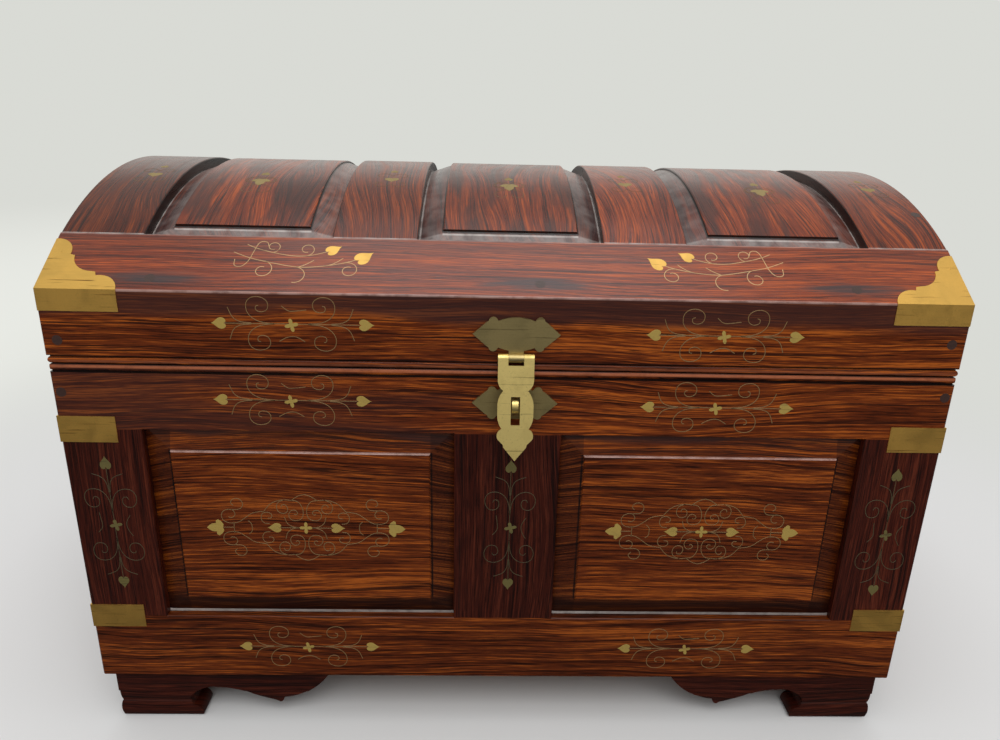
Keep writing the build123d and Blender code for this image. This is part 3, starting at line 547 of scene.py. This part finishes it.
# Brass
def brass(name, colour, polish, tarnish, seed, metal=1.0, pitted=0.55, brushed=0.45,
          on_corner=False):
    """Old brass: blotches of tarnish, brushed lines, small pits and a film of wax."""
    material, tree = new_material(name)
    point = stretched(tree, object_point(tree), (1, 1, 1), (seed, 2 * seed, 3 * seed))
    blotch = noise(tree, point, 60.0, 5, 0.6, 0.5)
    speck = noise(tree, point, 900.0, 3, 0.6)
    lines = banded(tree, point, 60, 2600)
    shade = mixed(tree, between(tree, blotch, 0.42, 0.68), colour, scaled(colour, 1 - tarnish))
    if on_corner:
        # Darker legs on the slope, the left one most.
        shade = mixed(tree, slope_leg_darkening(tree), shade, scaled(colour, 0.2))
    shade = mixed(tree, between(tree, lines, -0.2, 0.2, 0.0, brushed), shade, scaled(colour, 0.6))
    pits = between(tree, speck, 0.58, 0.68, 0.0, pitted)
    shade = mixed(tree, pits, shade, scaled(colour, 0.3))
    film = between(tree, banded(tree, stretched(tree, point, (1, 1, 1), (5, 1, 2)), 20, 700, 3),
                   0.14, 0.17, 0.5, 0.0)
    shade = mixed(tree, film, shade, [min(1.0, part) for part in scaled(colour, 1.8)])
    rough = between(tree, blotch, 0.3, 0.7, polish, polish + 0.16)
    height = maths(tree, "MULTIPLY_ADD", lines, 0.6, maths(tree, "MULTIPLY", speck, 0.4))
    look = {"Base Color": shade, "Metallic": metal, "Roughness": rough}
    finish_surface(tree, look, height, 0.3)
    return material


def slope_leg_darkening(tree):
    """How much darker the brackets' legs on the slope are made: the left one more than the right."""
    x, _, z = node(tree, "ShaderNodeSeparateXYZ", {0: object_point(tree)}).outputs
    return maths(tree, "MULTIPLY", between(tree, z, EDGE_Z - 0.3 * MM, EDGE_Z + 0.3 * MM),
                 between(tree, x, -0.1, 0.1, 0.9, 0.4))


# The colours of the wire and of the leaves at each place
INLAY = {"front": ((0.150, 0.086, 0.030), (0.27, 0.185, 0.040)),
         "stile": ((0.050, 0.036, 0.014), (0.090, 0.072, 0.018)),
         "slope": ((0.42, 0.27, 0.13), (0.62, 0.34, 0.07)),
         "dome": ((0.110, 0.060, 0.026), (0.19, 0.135, 0.045))}


def inlay_brass(place):
    """The brass of the wire and of the leaves at one place."""
    made = []
    for kind, colour in zip(("wire", "leaf"), INLAY[place]):
        name = "inlay_" + place + "_" + kind
        found = bpy.data.materials.get(name)
        made.append(found or brass(name, colour, 0.5, 0.45, 3, 0.25, 0.35, 0.1))
    return made


# Places on the chest: x across, up along the surface from the lid's front edge, and out
def on_front(depth=0.0):
    def place(x, up, out):
        return Vector((x, FACE_Y + depth - out, EDGE_Z + up))
    return place


def on_lid(depth=0.0):
    """A place up the slope board and then round the dome."""
    def place(x, up, out):
        if up < SLOPE_LENGTH:
            y = FACE_Y + up * math.cos(SLOPE) - out * math.sin(SLOPE)
            return Vector((x, y, EDGE_Z + up * math.sin(SLOPE) + out * math.cos(SLOPE)))
        angle = DOME_HALF_ANGLE - (up - SLOPE_LENGTH) / DOME_R
        radius = DOME_R - depth + out
        return Vector((x, DOME_Y - radius * math.sin(angle), DOME_Z + radius * math.cos(angle)))
    return place


# Lines of the inlay, in millimetres about a motif's own middle
STEP = 0.9


def scroll(x, y, heading, length, first_r, last_r, side=1):
    """A line that tightens from one radius to another: side is 1 to the left, -1 to the right."""
    count = max(4, round(length / STEP))
    angle = math.radians(heading)
    points = [(x, y)]
    for index in range(count):
        share = (index + 0.5) / count
        curve = side / (first_r * (last_r / first_r) ** share)
        angle += curve * length / count / 2
        x += math.cos(angle) * length / count
        y += math.sin(angle) * length / count
        angle += curve * length / count / 2
        points.append((x, y))
    return points


def smooth(points, rounds=3):
    """A soft line near a few chosen points."""
    for _ in range(rounds):
        cut = [points[0]]
        for (ax, ay), (bx, by) in zip(points, points[1:]):
            cut.append((0.75 * ax + 0.25 * bx, 0.75 * ay + 0.25 * by))
            cut.append((0.25 * ax + 0.75 * bx, 0.25 * ay + 0.75 * by))
        points = cut + [points[-1]]
    return points


def flipped(lines, in_x=False, in_y=False):
    sx, sy = -1 if in_x else 1, -1 if in_y else 1
    return [[(sx * x, sy * y) for x, y in line] for line in lines]


def in_quarters(lines):
    """The lines of the upper right quarter and its three reflections."""
    half = lines + flipped(lines, in_x=True)
    return half + flipped(half, in_y=True)


def turned(points, angle, move=(0, 0), size=1.0):
    c, s = math.cos(math.radians(angle)), math.sin(math.radians(angle))
    return [(move[0] + size * (c * x - s * y), move[1] + size * (s * x + c * y))
            for x, y in points]


# Outlines of the leaves and flowers, with their tip along X
def heart(length=10.0, wide=8.0):
    """A heart leaf: its two lobes begin at the origin, and its tip is along X."""
    points = []
    for index in range(36):
        t = 2 * math.pi * index / 36
        x = 16 * math.sin(t) ** 3
        y = 13 * math.cos(t) - 4 * math.cos(2 * t) - 1.6 * math.cos(3 * t) - math.cos(4 * t)
        points.append((-y, x / 32.0 * wide))
    low, high = min(x for x, _ in points), max(x for x, _ in points)
    return [((x - low) / (high - low) * length, y) for x, y in points]


def star(reach, waist):
    """A four-pointed flower with hollow sides."""
    points = []
    for index in range(32):
        angle = 2 * math.pi * index / 32
        radius = waist + (reach - waist) * abs(math.cos(2 * angle)) ** 1.6
        points.append((radius * math.cos(angle), radius * math.sin(angle)))
    return points


def maple(size=1.0):
    """A leaf of three pointed lobes: its stem end at the origin, its middle lobe along X."""
    half = [(0.6, 0.0), (0.0, 2.4), (1.2, 4.6), (3.6, 6.6), (5.2, 5.6), (5.4, 3.4), (7.4, 3.2),
            (8.6, 2.9), (10.4, 1.6), (12.0, 0.0)]
    whole = half + [(x, -y) for x, y in reversed(half[1:-1])]
    return [(size * x, size * y) for x, y in whole]


def rail_motif():
    """A stem with a flower in its middle, four scrolls, four sprigs and two leaves."""
    spiral = smooth([(11.0, 0.2), (18.5, 0.6), (25.0, 3.2), (28.8, 8.2), (28.6, 14.6), (24.6, 18.0),
                     (18.6, 18.0), (14.2, 14.8), (14.6, 9.6), (18.4, 7.6), (22.4, 8.6),
                     (22.6, 11.8), (20.6, 12.2)])
    sprig = smooth([(26.0, 0.4), (33.0, 0.9), (38.0, 3.6), (40.6, 10.8)])
    lines = in_quarters([spiral, sprig])
    lines += [[(-44.5, 0), (44.5, 0)]]
    lines += [smooth([(-5.8, 12.2), (-1.6, 8.4), (3.4, 8.8), (10.2, 9.7)]),
              smooth([(-8.6, -11.8), (-3.0, -8.6), (2.6, -8.2), (8.2, -11.8)])]
    leaves = [turned(heart(10.2, 7.8), 0, (44.0, 0)), turned(heart(9.8, 7.8), 180, (-42.5, 0)),
              turned(star(4.6, 1.5), 12, (0, -0.8))]
    return lines, leaves


def panel_motif():
    """A cartouche of paired scrolls and pointed arches between two three-lobed leaves."""
    quarter = [
        smooth([(0, 26.8), (4.5, 25.6), (9.2, 21.9)]),
        smooth([(9.2, 22.0), (4.6, 21.6), (1.6, 17.0), (1.0, 11.6), (2.4, 7.2), (6.4, 5.6),
                (10.6, 6.6), (12.0, 10.6), (9.8, 14.4), (6.4, 14.2), (4.8, 11.8), (6.6, 10.2),
                (7.8, 11.2)]),
        smooth([(9.2, 22.0), (14.0, 22.6), (19.0, 21.8), (24.5, 19.2), (29.0, 13.2)]),
        smooth([(29.0, 13.2), (33.5, 12.6), (38.0, 11.6), (43.0, 7.4), (48.0, 3.8), (54.0, 3.2),
                (58.8, 5.4), (59.6, 11.0), (56.0, 14.6), (50.0, 14.2), (45.0, 14.8), (43.0, 19.4),
                (45.8, 23.4), (50.6, 22.8), (52.4, 19.4), (50.2, 17.6)]),
        smooth([(51.6, 14.3), (49.4, 12.0), (49.9, 8.9), (52.4, 7.6), (54.4, 8.4)]),
        smooth([(25.6, 3.3), (29.6, 3.6), (31.6, 7.0), (30.8, 11.4), (27.0, 12.8), (23.4, 11.0),
                (23.8, 7.8), (26.8, 7.6)]),
        smooth([(14.0, 22.5), (19.0, 20.6), (20.2, 15.8), (18.0, 11.6), (13.2, 11.6), (11.6, 15.2),
                (13.4, 18.8), (16.4, 18.4), (16.6, 16.4)]),
        smooth([(4.0, 0.2), (9.0, 0.4), (13.4, 3.4), (14.8, 9.0)]),
        smooth([(38.2, 0), (38.4, 3.2), (40.8, 5.4)]),
    ]
    lines = in_quarters(quarter)
    lines += [[(51.0, -4.3), (51.0, 4.3)], [(-51.0, -4.3), (-51.0, 4.3)]]
    lines += [[(-59.5, 0), (-51, 0)], [(-18.6, 0), (-4, 0)], [(4, 0), (18.6, 0)],
              [(51, 0), (59.5, 0)]]
    leaves = [turned(heart(10.0, 7.6), 0, (18.2, 0)), turned(heart(10.0, 7.6), 180, (-17.6, 0)),
              turned(maple(), 0, (59.2, -0.2)), turned(maple(), 180, (-58.4, -0.2)),
              star(4.7, 1.3)]
    return lines, leaves


def slope_motif():
    """The spray on the slope board, in its own places from the chest's middle, left half."""
    upper = smooth([(-177.9, 42.1), (-170.0, 38.2), (-157.9, 34.6), (-145.0, 32.0),
                    (-134.0, 32.9), (-121.5, 37.6)])
    lower = smooth([(-185.7, 35.0), (-174.0, 29.6), (-162.0, 26.6), (-149.3, 23.6),
                    (-139.3, 22.0), (-123.6, 23.6), (-109.3, 27.4), (-101.0, 31.0)])
    flourish = smooth([(-183.8, 28.6), (-183.6, 22.4), (-178.2, 21.6), (-174.4, 27.0),
                       (-172.6, 36.0), (-170.4, 45.2), (-164.8, 45.2), (-163.4, 40.8)])
    lines = [upper, lower, flourish,
             scroll(-164.0, 27.4, -16, 33.0, 9.0, 3.2, -1),
             scroll(-112.0, 26.6, 22, 35.0, 8.0, 3.2, -1),
             scroll(-142.0, 22.4, -12, 21.0, 8.0, 5.6, -1),
             scroll(-141.5, 22.3, 20, 12.0, 18.0, 60.0, 1),
             scroll(-124.0, 23.8, 10, 14.0, 14.0, 30.0, 1),
             scroll(-160.5, 35.2, 5, 25.0, 5.6, 2.6, 1),
             scroll(-137.5, 32.6, 10, 27.0, 6.4, 2.8, 1)]
    leaves = [turned(heart(11.4, 8.6), 32, (-124.0, 36.0)),
              turned(heart(13.8, 10.6), 38, (-103.4, 28.4))]
    return lines, leaves


def rib_motif():
    """A leaf over a pair of scrolls, for the ribs."""
    lines = in_quarters([scroll(0.3, 9.0, 70, 24.0, 9.0, 2.4, -1)])
    lines += [[(0, -17), (0, 19)]]
    leaves = [turned(heart(9.0, 11.0), 270, (0, 4.0)), turned(heart(7.0, 6.0), 90, (0, 18.0))]
    return lines, leaves


def field_motif():
    """A three-lobed leaf between two sprays, for the fields of the dome."""
    half = [scroll(3.0, -6.0, 20, 30.0, 14.0, 3.0, 1), scroll(3.0, -7.0, -10, 26.0, 12.0, 2.8, -1),
            scroll(2.0, 5.0, 35, 20.0, 9.0, 2.4, -1)]
    lines = half + flipped(half, in_x=True) + [[(0, -14), (0, 8)]]
    leaves = [turned(maple(1.1), 270, (0, 5.0)), turned(heart(8.0, 6.4), 90, (0, 13.0))]
    return lines, leaves


# Pieces from lines and outlines
def curve_object(name, lines):
    """Open lines in the drawing plane, in metres."""
    curve = bpy.data.curves.new(name, "CURVE")
    curve.dimensions = "3D"
    for line in lines:
        spline = curve.splines.new("POLY")
        spline.points.add(len(line) - 1)
        for point, (x, y) in zip(spline.points, line):
            point.co = (x * MM, y * MM, 0, 1)
    return linked(name, curve)


def leaf_object(name, outlines, thick):
    """Flat leaves with a small round on their upper edge, in metres."""
    mesh = bpy.data.meshes.new(name)
    shape = bmesh.new()
    for line in outlines:
        middle = (sum(x for x, _ in line) / len(line), sum(y for _, y in line) / len(line))
        rings = []
        for share, height in ((1.0, -thick), (1.0, -0.12 * thick), (0.94, 0.0)):
            rings.append([shape.verts.new(((middle[0] + (x - middle[0]) * share) * MM,
                                           (middle[1] + (y - middle[1]) * share) * MM, height))
                          for x, y in line])
        low, top = (shape.verts.new((middle[0] * MM, middle[1] * MM, height))
                    for height in (-thick, 0.0))
        for index in range(len(line)):
            after = (index + 1) % len(line)
            for below, above in zip(rings, rings[1:]):
                shape.faces.new((below[index], below[after], above[after], above[index]))
            shape.faces.new((rings[0][after], rings[0][index], low))
            shape.faces.new((rings[-1][index], rings[-1][after], top))
    face_outwards(shape, mesh)
    return linked(name, mesh)


def face_outwards(shape, mesh):
    """Writes a closed shape to a mesh with its faces turned outwards."""
    bmesh.ops.recalc_face_normals(shape, faces=shape.faces)
    shape.to_mesh(mesh)
    shape.free()


def places_object(name, places):
    """Points that hold a motif's places: x and up in metres, and its turn in degrees."""
    mesh = bpy.data.meshes.new(name)
    mesh.from_pydata([(x * MM, up * MM, 0) for x, up, _ in places], [], [])
    turns = mesh.attributes.new("turn", "FLOAT", "POINT")
    turns.data.foreach_set("value", [math.radians(turn) for _, _, turn in places])
    return linked(name, mesh)


def leaf_motif(tree, given):
    return node(tree, "GeometryNodeObjectInfo", {"Object": given["Motif"]}).outputs["Geometry"]


def wire_motif(tree, given):
    """The motif's lines with their section."""
    section = node(tree, "GeometryNodeCurvePrimitiveQuadrilateral",
                   {"Width": given["Wire Width"], "Height": given["Wire Height"]})
    return node(tree, "GeometryNodeCurveToMesh",
                {"Curve": leaf_motif(tree, given), "Profile Curve": section.outputs[0],
                 "Fill Caps": True}).outputs[0]


def stud_motif(tree, given):
    """A low round stud."""
    return node(tree, "GeometryNodeMeshCone",
                {"Vertices": 24, "Radius Top": given["Top"], "Radius Bottom": given["Radius"],
                 "Depth": given["Height"]}).outputs[0]


TRIM_INPUTS = {leaf_motif: {"Motif": "Object"},
               wire_motif: {"Motif": "Object", "Wire Width": "Float", "Wire Height": "Float"},
               stud_motif: {"Radius": "Float", "Top": "Float", "Height": "Float"}}


def trim_tree(name, motif):
    """Nodes that set a motif at each place, turned by the place's own angle."""
    tree = bpy.data.node_groups.new(name, "GeometryNodeTree")
    sockets = {"Geometry": "Geometry", **TRIM_INPUTS[motif], "Material": "Material"}
    for title, kind in sockets.items():
        tree.interface.new_socket(title, in_out="INPUT", socket_type="NodeSocket" + kind)
    tree.interface.new_socket("Geometry", in_out="OUTPUT", socket_type="NodeSocketGeometry")
    given = node(tree, "NodeGroupInput").outputs
    turn = node(tree, "GeometryNodeInputNamedAttribute", {"Name": "turn"}, data_type="FLOAT")
    rotation = node(tree, "ShaderNodeCombineXYZ", {2: turn.outputs[0]}).outputs[0]
    copies = node(tree, "GeometryNodeInstanceOnPoints",
                  {"Points": given["Geometry"], "Instance": motif(tree, given),
                   "Rotation": rotation}).outputs[0]
    solid = node(tree, "GeometryNodeRealizeInstances", {"Geometry": copies}).outputs[0]
    painted = node(tree, "GeometryNodeSetMaterial",
                   {"Geometry": solid, "Material": given["Material"]}).outputs[0]
    node(tree, "NodeGroupOutput", {"Geometry": painted})
    return tree


def run_nodes(host, tree, values):
    """Runs a tree on an object, and gives the result as a plain mesh."""
    modifier = host.modifiers.new(tree.name, "NODES")
    modifier.node_group = tree
    for item in tree.interface.items_tree:
        if item.in_out == "INPUT" and item.name in values:
            modifier[item.identifier] = values[item.name]
    bpy.context.view_layer.update()
    graph = bpy.context.evaluated_depsgraph_get()
    mesh = bpy.data.meshes.new_from_object(host.evaluated_get(graph))
    host.modifiers.remove(modifier)
    bpy.data.objects.remove(host)
    return mesh


def trim(name, motif, places, values, surface, proud, body):
    """Sets a motif at each place, lays the result on a surface and lets it ride on a body."""
    mesh = run_nodes(places_object(name + "_places", places), trim_tree(name, motif), values)
    lift = proud - max(vertex.co.z for vertex in mesh.vertices)
    for vertex in mesh.vertices:
        x, up, out = vertex.co
        vertex.co = surface(x, up, out + lift)
    shape = bmesh.new()
    shape.from_mesh(mesh)
    face_outwards(shape, mesh)
    mesh.name = name
    piece = linked(name, mesh)
    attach(piece, body)


def inlay(name, motif, places, surface, body, kind):
    """Sets a motif of wires and leaves at each place on one surface of the chest."""
    sizes = settings()[0]
    lines, outlines = motif
    wire, leaf = inlay_brass(kind)
    wires = curve_object(name + "_lines", lines)
    leaves = leaf_object(name + "_shapes", outlines, sizes.trim_height)
    for part, source, material, build, higher in (("_wires", wires, wire, wire_motif, 0),
                                                  ("_leaves", leaves, leaf, leaf_motif, 0.02)):
        values = {"Motif": source, "Material": material, "Wire Width": sizes.wire_width,
                  "Wire Height": sizes.trim_height}
        trim(name + part, build, places, values, surface, sizes.proud + higher * MM, body)
        bpy.data.objects.remove(source)


def studs(name, places, surface, body, radius, taper, proud, material, slot):
    """Sets a low round plug or nail head at each place."""
    values = {"Radius": radius, "Top": radius * taper, "Height": settings()[0].trim_height,
              "Material": material}
    trim(name, stud_motif, places, values, surface, proud, body)


class CHEST_OT_woodwork(bpy.types.Operator):
    """Gives every board its rosewood, each with its own grain"""
    bl_idname = "chest.woodwork"
    bl_label = "Woodwork"

    def execute(self, context):
        for seed, (name, grain, palette, *look) in enumerate(boards()):
            shaded = [scaled(colour, SHADE_AND_TONE.get(name, 1.0)) for colour in palette[:3]]
            dress(name, wood(name, grain, shaded + palette[3:], seed, *look))
        return {"FINISHED"}


class CHEST_OT_brasswork(bpy.types.Operator):
    """Gives the corners, the hasp and the hinges their old brass"""
    bl_idname = "chest.brasswork"
    bl_label = "Brasswork"

    def execute(self, context):
        colours = settings()[1]
        corner = brass("corner_brass", colours.plate, 0.38, 0.35, 2, on_corner=True)
        plates = brass("hasp_plate_brass", colours.hasp, 0.42, 0.35, 4, pitted=0.5)
        leaf = brass("hasp_leaf_brass", colours.leaf, 0.36, 0.45, 6, pitted=0.75, brushed=0.15)
        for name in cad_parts:
            if name in ("case_corner_straps", "lid_corner_brackets") or name.startswith("hinge_"):
                dress(name, corner)
            elif name in ("hasp_leaf", "hasp_pin", "hasp_staple"):
                dress(name, leaf)
            elif "hasp" in name or "staple" in name:
                dress(name, plates)
        return {"FINISHED"}


class CHEST_OT_rail_inlay(bpy.types.Operator):
    """Sets the stem motif on the rails of the lid and case and on the stiles"""
    bl_idname = "chest.rail_inlay"
    bl_label = "Rail inlay"

    def execute(self, context):
        on_lid_rail = [(-143.3, -20.8, 0), (142, -24, 0)]
        on_rails = [(-147, -74, 0), (142, -75, 0), (-147, -274, 0), (141, -274, 0)]
        on_stiles = [(-278, -171, 90), (3, -170, 90), (278, -173, 90)]
        inlay("lid_rail_inlay", rail_motif(), on_lid_rail, on_front(), "lid", "front")
        inlay("rail_inlay", rail_motif(), on_rails, on_front(), "case", "front")
        inlay("stile_inlay", rail_motif(), on_stiles, on_front(), "case", "stile")
        return {"FINISHED"}


class CHEST_OT_panel_inlay(bpy.types.Operator):
    """Sets the cartouche on the two front panels"""
    bl_idname = "chest.panel_inlay"
    bl_label = "Panel inlay"

    def execute(self, context):
        places = [(-143.0, -172, 0), (142.9, -172, 0)]
        inlay("panel_inlay", panel_motif(), places, on_front(FIELD_DEPTH), "case", "front")
        return {"FINISHED"}


class CHEST_OT_slope_inlay(bpy.types.Operator):
    """Sets the two sprays on the slope of the lid"""
    bl_idname = "chest.slope_inlay"
    bl_label = "Slope inlay"

    def execute(self, context):
        lines, outlines = slope_motif()
        both = (lines + flipped(lines, in_x=True), outlines + flipped(outlines, in_x=True))
        inlay("slope_inlay", both, [(0, 0, 0)], on_lid(), "lid", "slope")
        return {"FINISHED"}


class CHEST_OT_dome_inlay(bpy.types.Operator):
    """Sets the small motifs on the ribs and the fields of the dome"""
    bl_idname = "chest.dome_inlay"
    bl_label = "Dome inlay"

    def execute(self, context):
        ribs = [(x, 134, 0) for x in (-270, -90, 90, 281)]
        fields = [(x, 126, 0) for x in (-188, 0, 193)]
        inlay("rib_inlay", rib_motif(), ribs, on_lid(), "lid", "dome")
        inlay("field_inlay", field_motif(), fields, on_lid(DOME_FIELD_DEPTH), "lid", "dome")
        return {"FINISHED"}


class CHEST_OT_plugs(bpy.types.Operator):
    """Sets the dark plugs over the screws and the nail heads of the brackets"""
    bl_idname = "chest.plugs"
    bl_label = "Plugs"

    def execute(self, context):
        sizes, colours, _ = settings()
        wood_plug, tree = new_material("plug_wood")
        mottle = noise(tree, object_point(tree), 900.0, 3, 0.6)
        colour = mixed(tree, mottle, scaled(colours.plug, 0.4), scaled(colours.plug, 1.7))
        shader = node(tree, "ShaderNodeBsdfPrincipled", {"Base Color": colour, "Roughness": 0.4})
        finish_material(tree, shader.outputs[0])
        rail = [(-296.2, -34.2, 0), (296.2, -27.4, 0)]
        case = [(-299.5, -70.4, 0), (299.6, -65.3, 0)]
        top = [(x, up, 0) for x, up in SLOPE_PLUGS] + [(299, 92, 0)]
        brackets = [(-298, 32, 0), (300, 32, 0)]
        look = (sizes.plug, 0.97, 0.05 * MM, wood_plug, "stile_wood")
        studs("lid_rail_plugs", rail, on_front(), "lid", *look)
        studs("case_plugs", case, on_front(), "case", *look)
        studs("lid_plugs", top, on_lid(), "lid", *look)
        studs("bracket_nails", brackets, on_lid(), "lid", sizes.nail, 0.5, 0.62 * MM,
              bpy.data.materials["corner_brass"], "plate_brass")
        return {"FINISHED"}


class CHEST_OT_studio(bpy.types.Operator):
    """Builds the pale floor, the light and the camera"""
    bl_idname = "chest.studio"
    bl_label = "Studio"

    def execute(self, context):
        studio = settings()[2]
        self.world(context.scene, studio)
        self.floor(studio)
        self.lamps(studio)
        self.camera(context.scene, studio)
        context.scene.view_settings.view_transform = "Standard"
        return {"FINISHED"}

    def seen(self, tree):
        """1 for what the camera sees itself, in a mirror or through glass."""
        path = node(tree, "ShaderNodeLightPath").outputs
        direct = maths(tree, "ADD", path["Is Camera Ray"], path["Is Glossy Ray"])
        return maths(tree, "ADD", direct, path["Is Transmission Ray"], clamp=True)

    def world(self, scene, studio):
        world = bpy.data.worlds.new("studio_world")
        world.use_nodes = True
        scene.world = world
        tree = world.node_tree
        tree.nodes.clear()
        light = node(tree, "ShaderNodeBackground",
                     {"Color": (1, 1, 1, 1), "Strength": studio.ambient})
        shown = node(tree, "ShaderNodeBackground", {"Color": (*studio.backdrop, 1)})
        both = either(tree, self.seen(tree), light, shown)
        node(tree, "ShaderNodeOutputWorld", {"Surface": both.outputs[0]})

    def floor(self, studio):
        """A wide disc that fades into the backdrop, so that no horizon shows."""
        mesh = bpy.data.meshes.new("floor")
        shape = bmesh.new()
        bmesh.ops.create_circle(shape, cap_ends=True, segments=96, radius=12.0)
        shape.to_mesh(mesh)
        shape.free()
        floor = linked("floor", mesh)
        material, tree = new_material("floor_paper")
        point = object_point(tree)
        away = node(tree, "ShaderNodeVectorMath", {0: point}, operation="LENGTH").outputs["Value"]
        far = between(tree, away, 0.5, 1.2)
        paper = node(tree, "ShaderNodeBsdfDiffuse", {"Color": (0.77, 0.77, 0.765, 1)})
        # Far from the chest the floor glows as the backdrop, brighter toward the left: a painted pool
        # of light.
        x = node(tree, "ShaderNodeSeparateXYZ", {0: point}).outputs[0]
        left = between(tree, x, -0.35, -1.1)
        close = between(tree, away, 1.6, 4.5, 1.0, 0.0)
        lit = mixed(tree, maths(tree, "MULTIPLY", left, close), studio.backdrop,
                    scaled(studio.backdrop, 1.16))
        glow = node(tree, "ShaderNodeEmission", {"Color": lit})
        path = node(tree, "ShaderNodeLightPath").outputs
        direct = maths(tree, "ADD", path["Is Camera Ray"], path["Is Transmission Ray"])
        both = either(tree, maths(tree, "MULTIPLY", far, direct), paper, glow)
        dim = node(tree, "ShaderNodeEmission", {"Color": (*[studio.mirrored_floor] * 3, 1)})
        finish_material(tree, either(tree, path["Is Glossy Ray"], both, dim).outputs[0])
        mesh.materials.append(material)

    def lamps(self, studio):
        for name, place, target, size, power in (
                ("overhead", (0.0, -0.1, 2.2), (0, -0.1, 0), (1.4, 1.7), studio.overhead),
                ("front_fill", (0.1, -1.7, 2.2), (0, 0, 0.2), (2.0, 1.2), studio.front_fill)):
            light = bpy.data.lights.new(name, "AREA")
            light.shape = "RECTANGLE"
            light.size, light.size_y = size
            light.energy = power
            lamp = linked(name, light)
            lamp.location = place
            aim = Vector(target) - Vector(place)
            lamp.rotation_euler = aim.to_track_quat("-Z", "Y").to_euler()

    def camera(self, scene, studio):
        data = bpy.data.cameras.new("camera")
        data.sensor_width = 36.0
        data.lens = studio.lens
        camera = linked("camera", data)
        axes = (Matrix.Rotation(-studio.camera_turn, 4, "Z")
                @ Matrix.Rotation(math.radians(90) - studio.camera_down, 4, "X")
                @ Matrix.Rotation(studio.camera_roll, 4, "Z"))
        place = Vector((0, FACE_Y, EDGE_Z)) + Vector(studio.camera_place)
        camera.matrix_world = Matrix.Translation(place) @ axes
        scene.camera = camera


class CHEST_PT_finish(bpy.types.Panel):
    """The chest's finish"""
    bl_idname = "CHEST_PT_finish"
    bl_label = "Chest finish"
    bl_space_type = "VIEW_3D"
    bl_region_type = "UI"
    bl_category = "Chest"

    def draw(self, context):
        for group in settings():
            box = self.layout.box()
            for name in group.__annotations__:
                box.prop(group, name)
        for operator in OPERATORS:
            self.layout.operator(operator.bl_idname)


GROUPS = {"chest_sizes": ChestSizes, "chest_colours": ChestColours, "chest_studio": ChestStudio}
OPERATORS = (CHEST_OT_studio, CHEST_OT_woodwork, CHEST_OT_brasswork, CHEST_OT_rail_inlay,
             CHEST_OT_panel_inlay, CHEST_OT_slope_inlay, CHEST_OT_dome_inlay, CHEST_OT_plugs)


CLASSES = (*GROUPS.values(), *OPERATORS, CHEST_PT_finish)


def register():
    for item in CLASSES:
        bpy.utils.register_class(item)
    for name, group in GROUPS.items():
        setattr(bpy.types.Scene, name, bpy.props.PointerProperty(type=group))


def unregister():
    for name in GROUPS:
        delattr(bpy.types.Scene, name)
    for item in reversed(CLASSES):
        bpy.utils.unregister_class(item)


def main():
    register()
    bpy.ops.chest.studio()
    bpy.ops.chest.woodwork()
    bpy.ops.chest.brasswork()
    bpy.ops.chest.rail_inlay()
    bpy.ops.chest.panel_inlay()
    bpy.ops.chest.slope_inlay()
    bpy.ops.chest.dome_inlay()
    bpy.ops.chest.plugs()


if __name__ == "__main__":
    main()
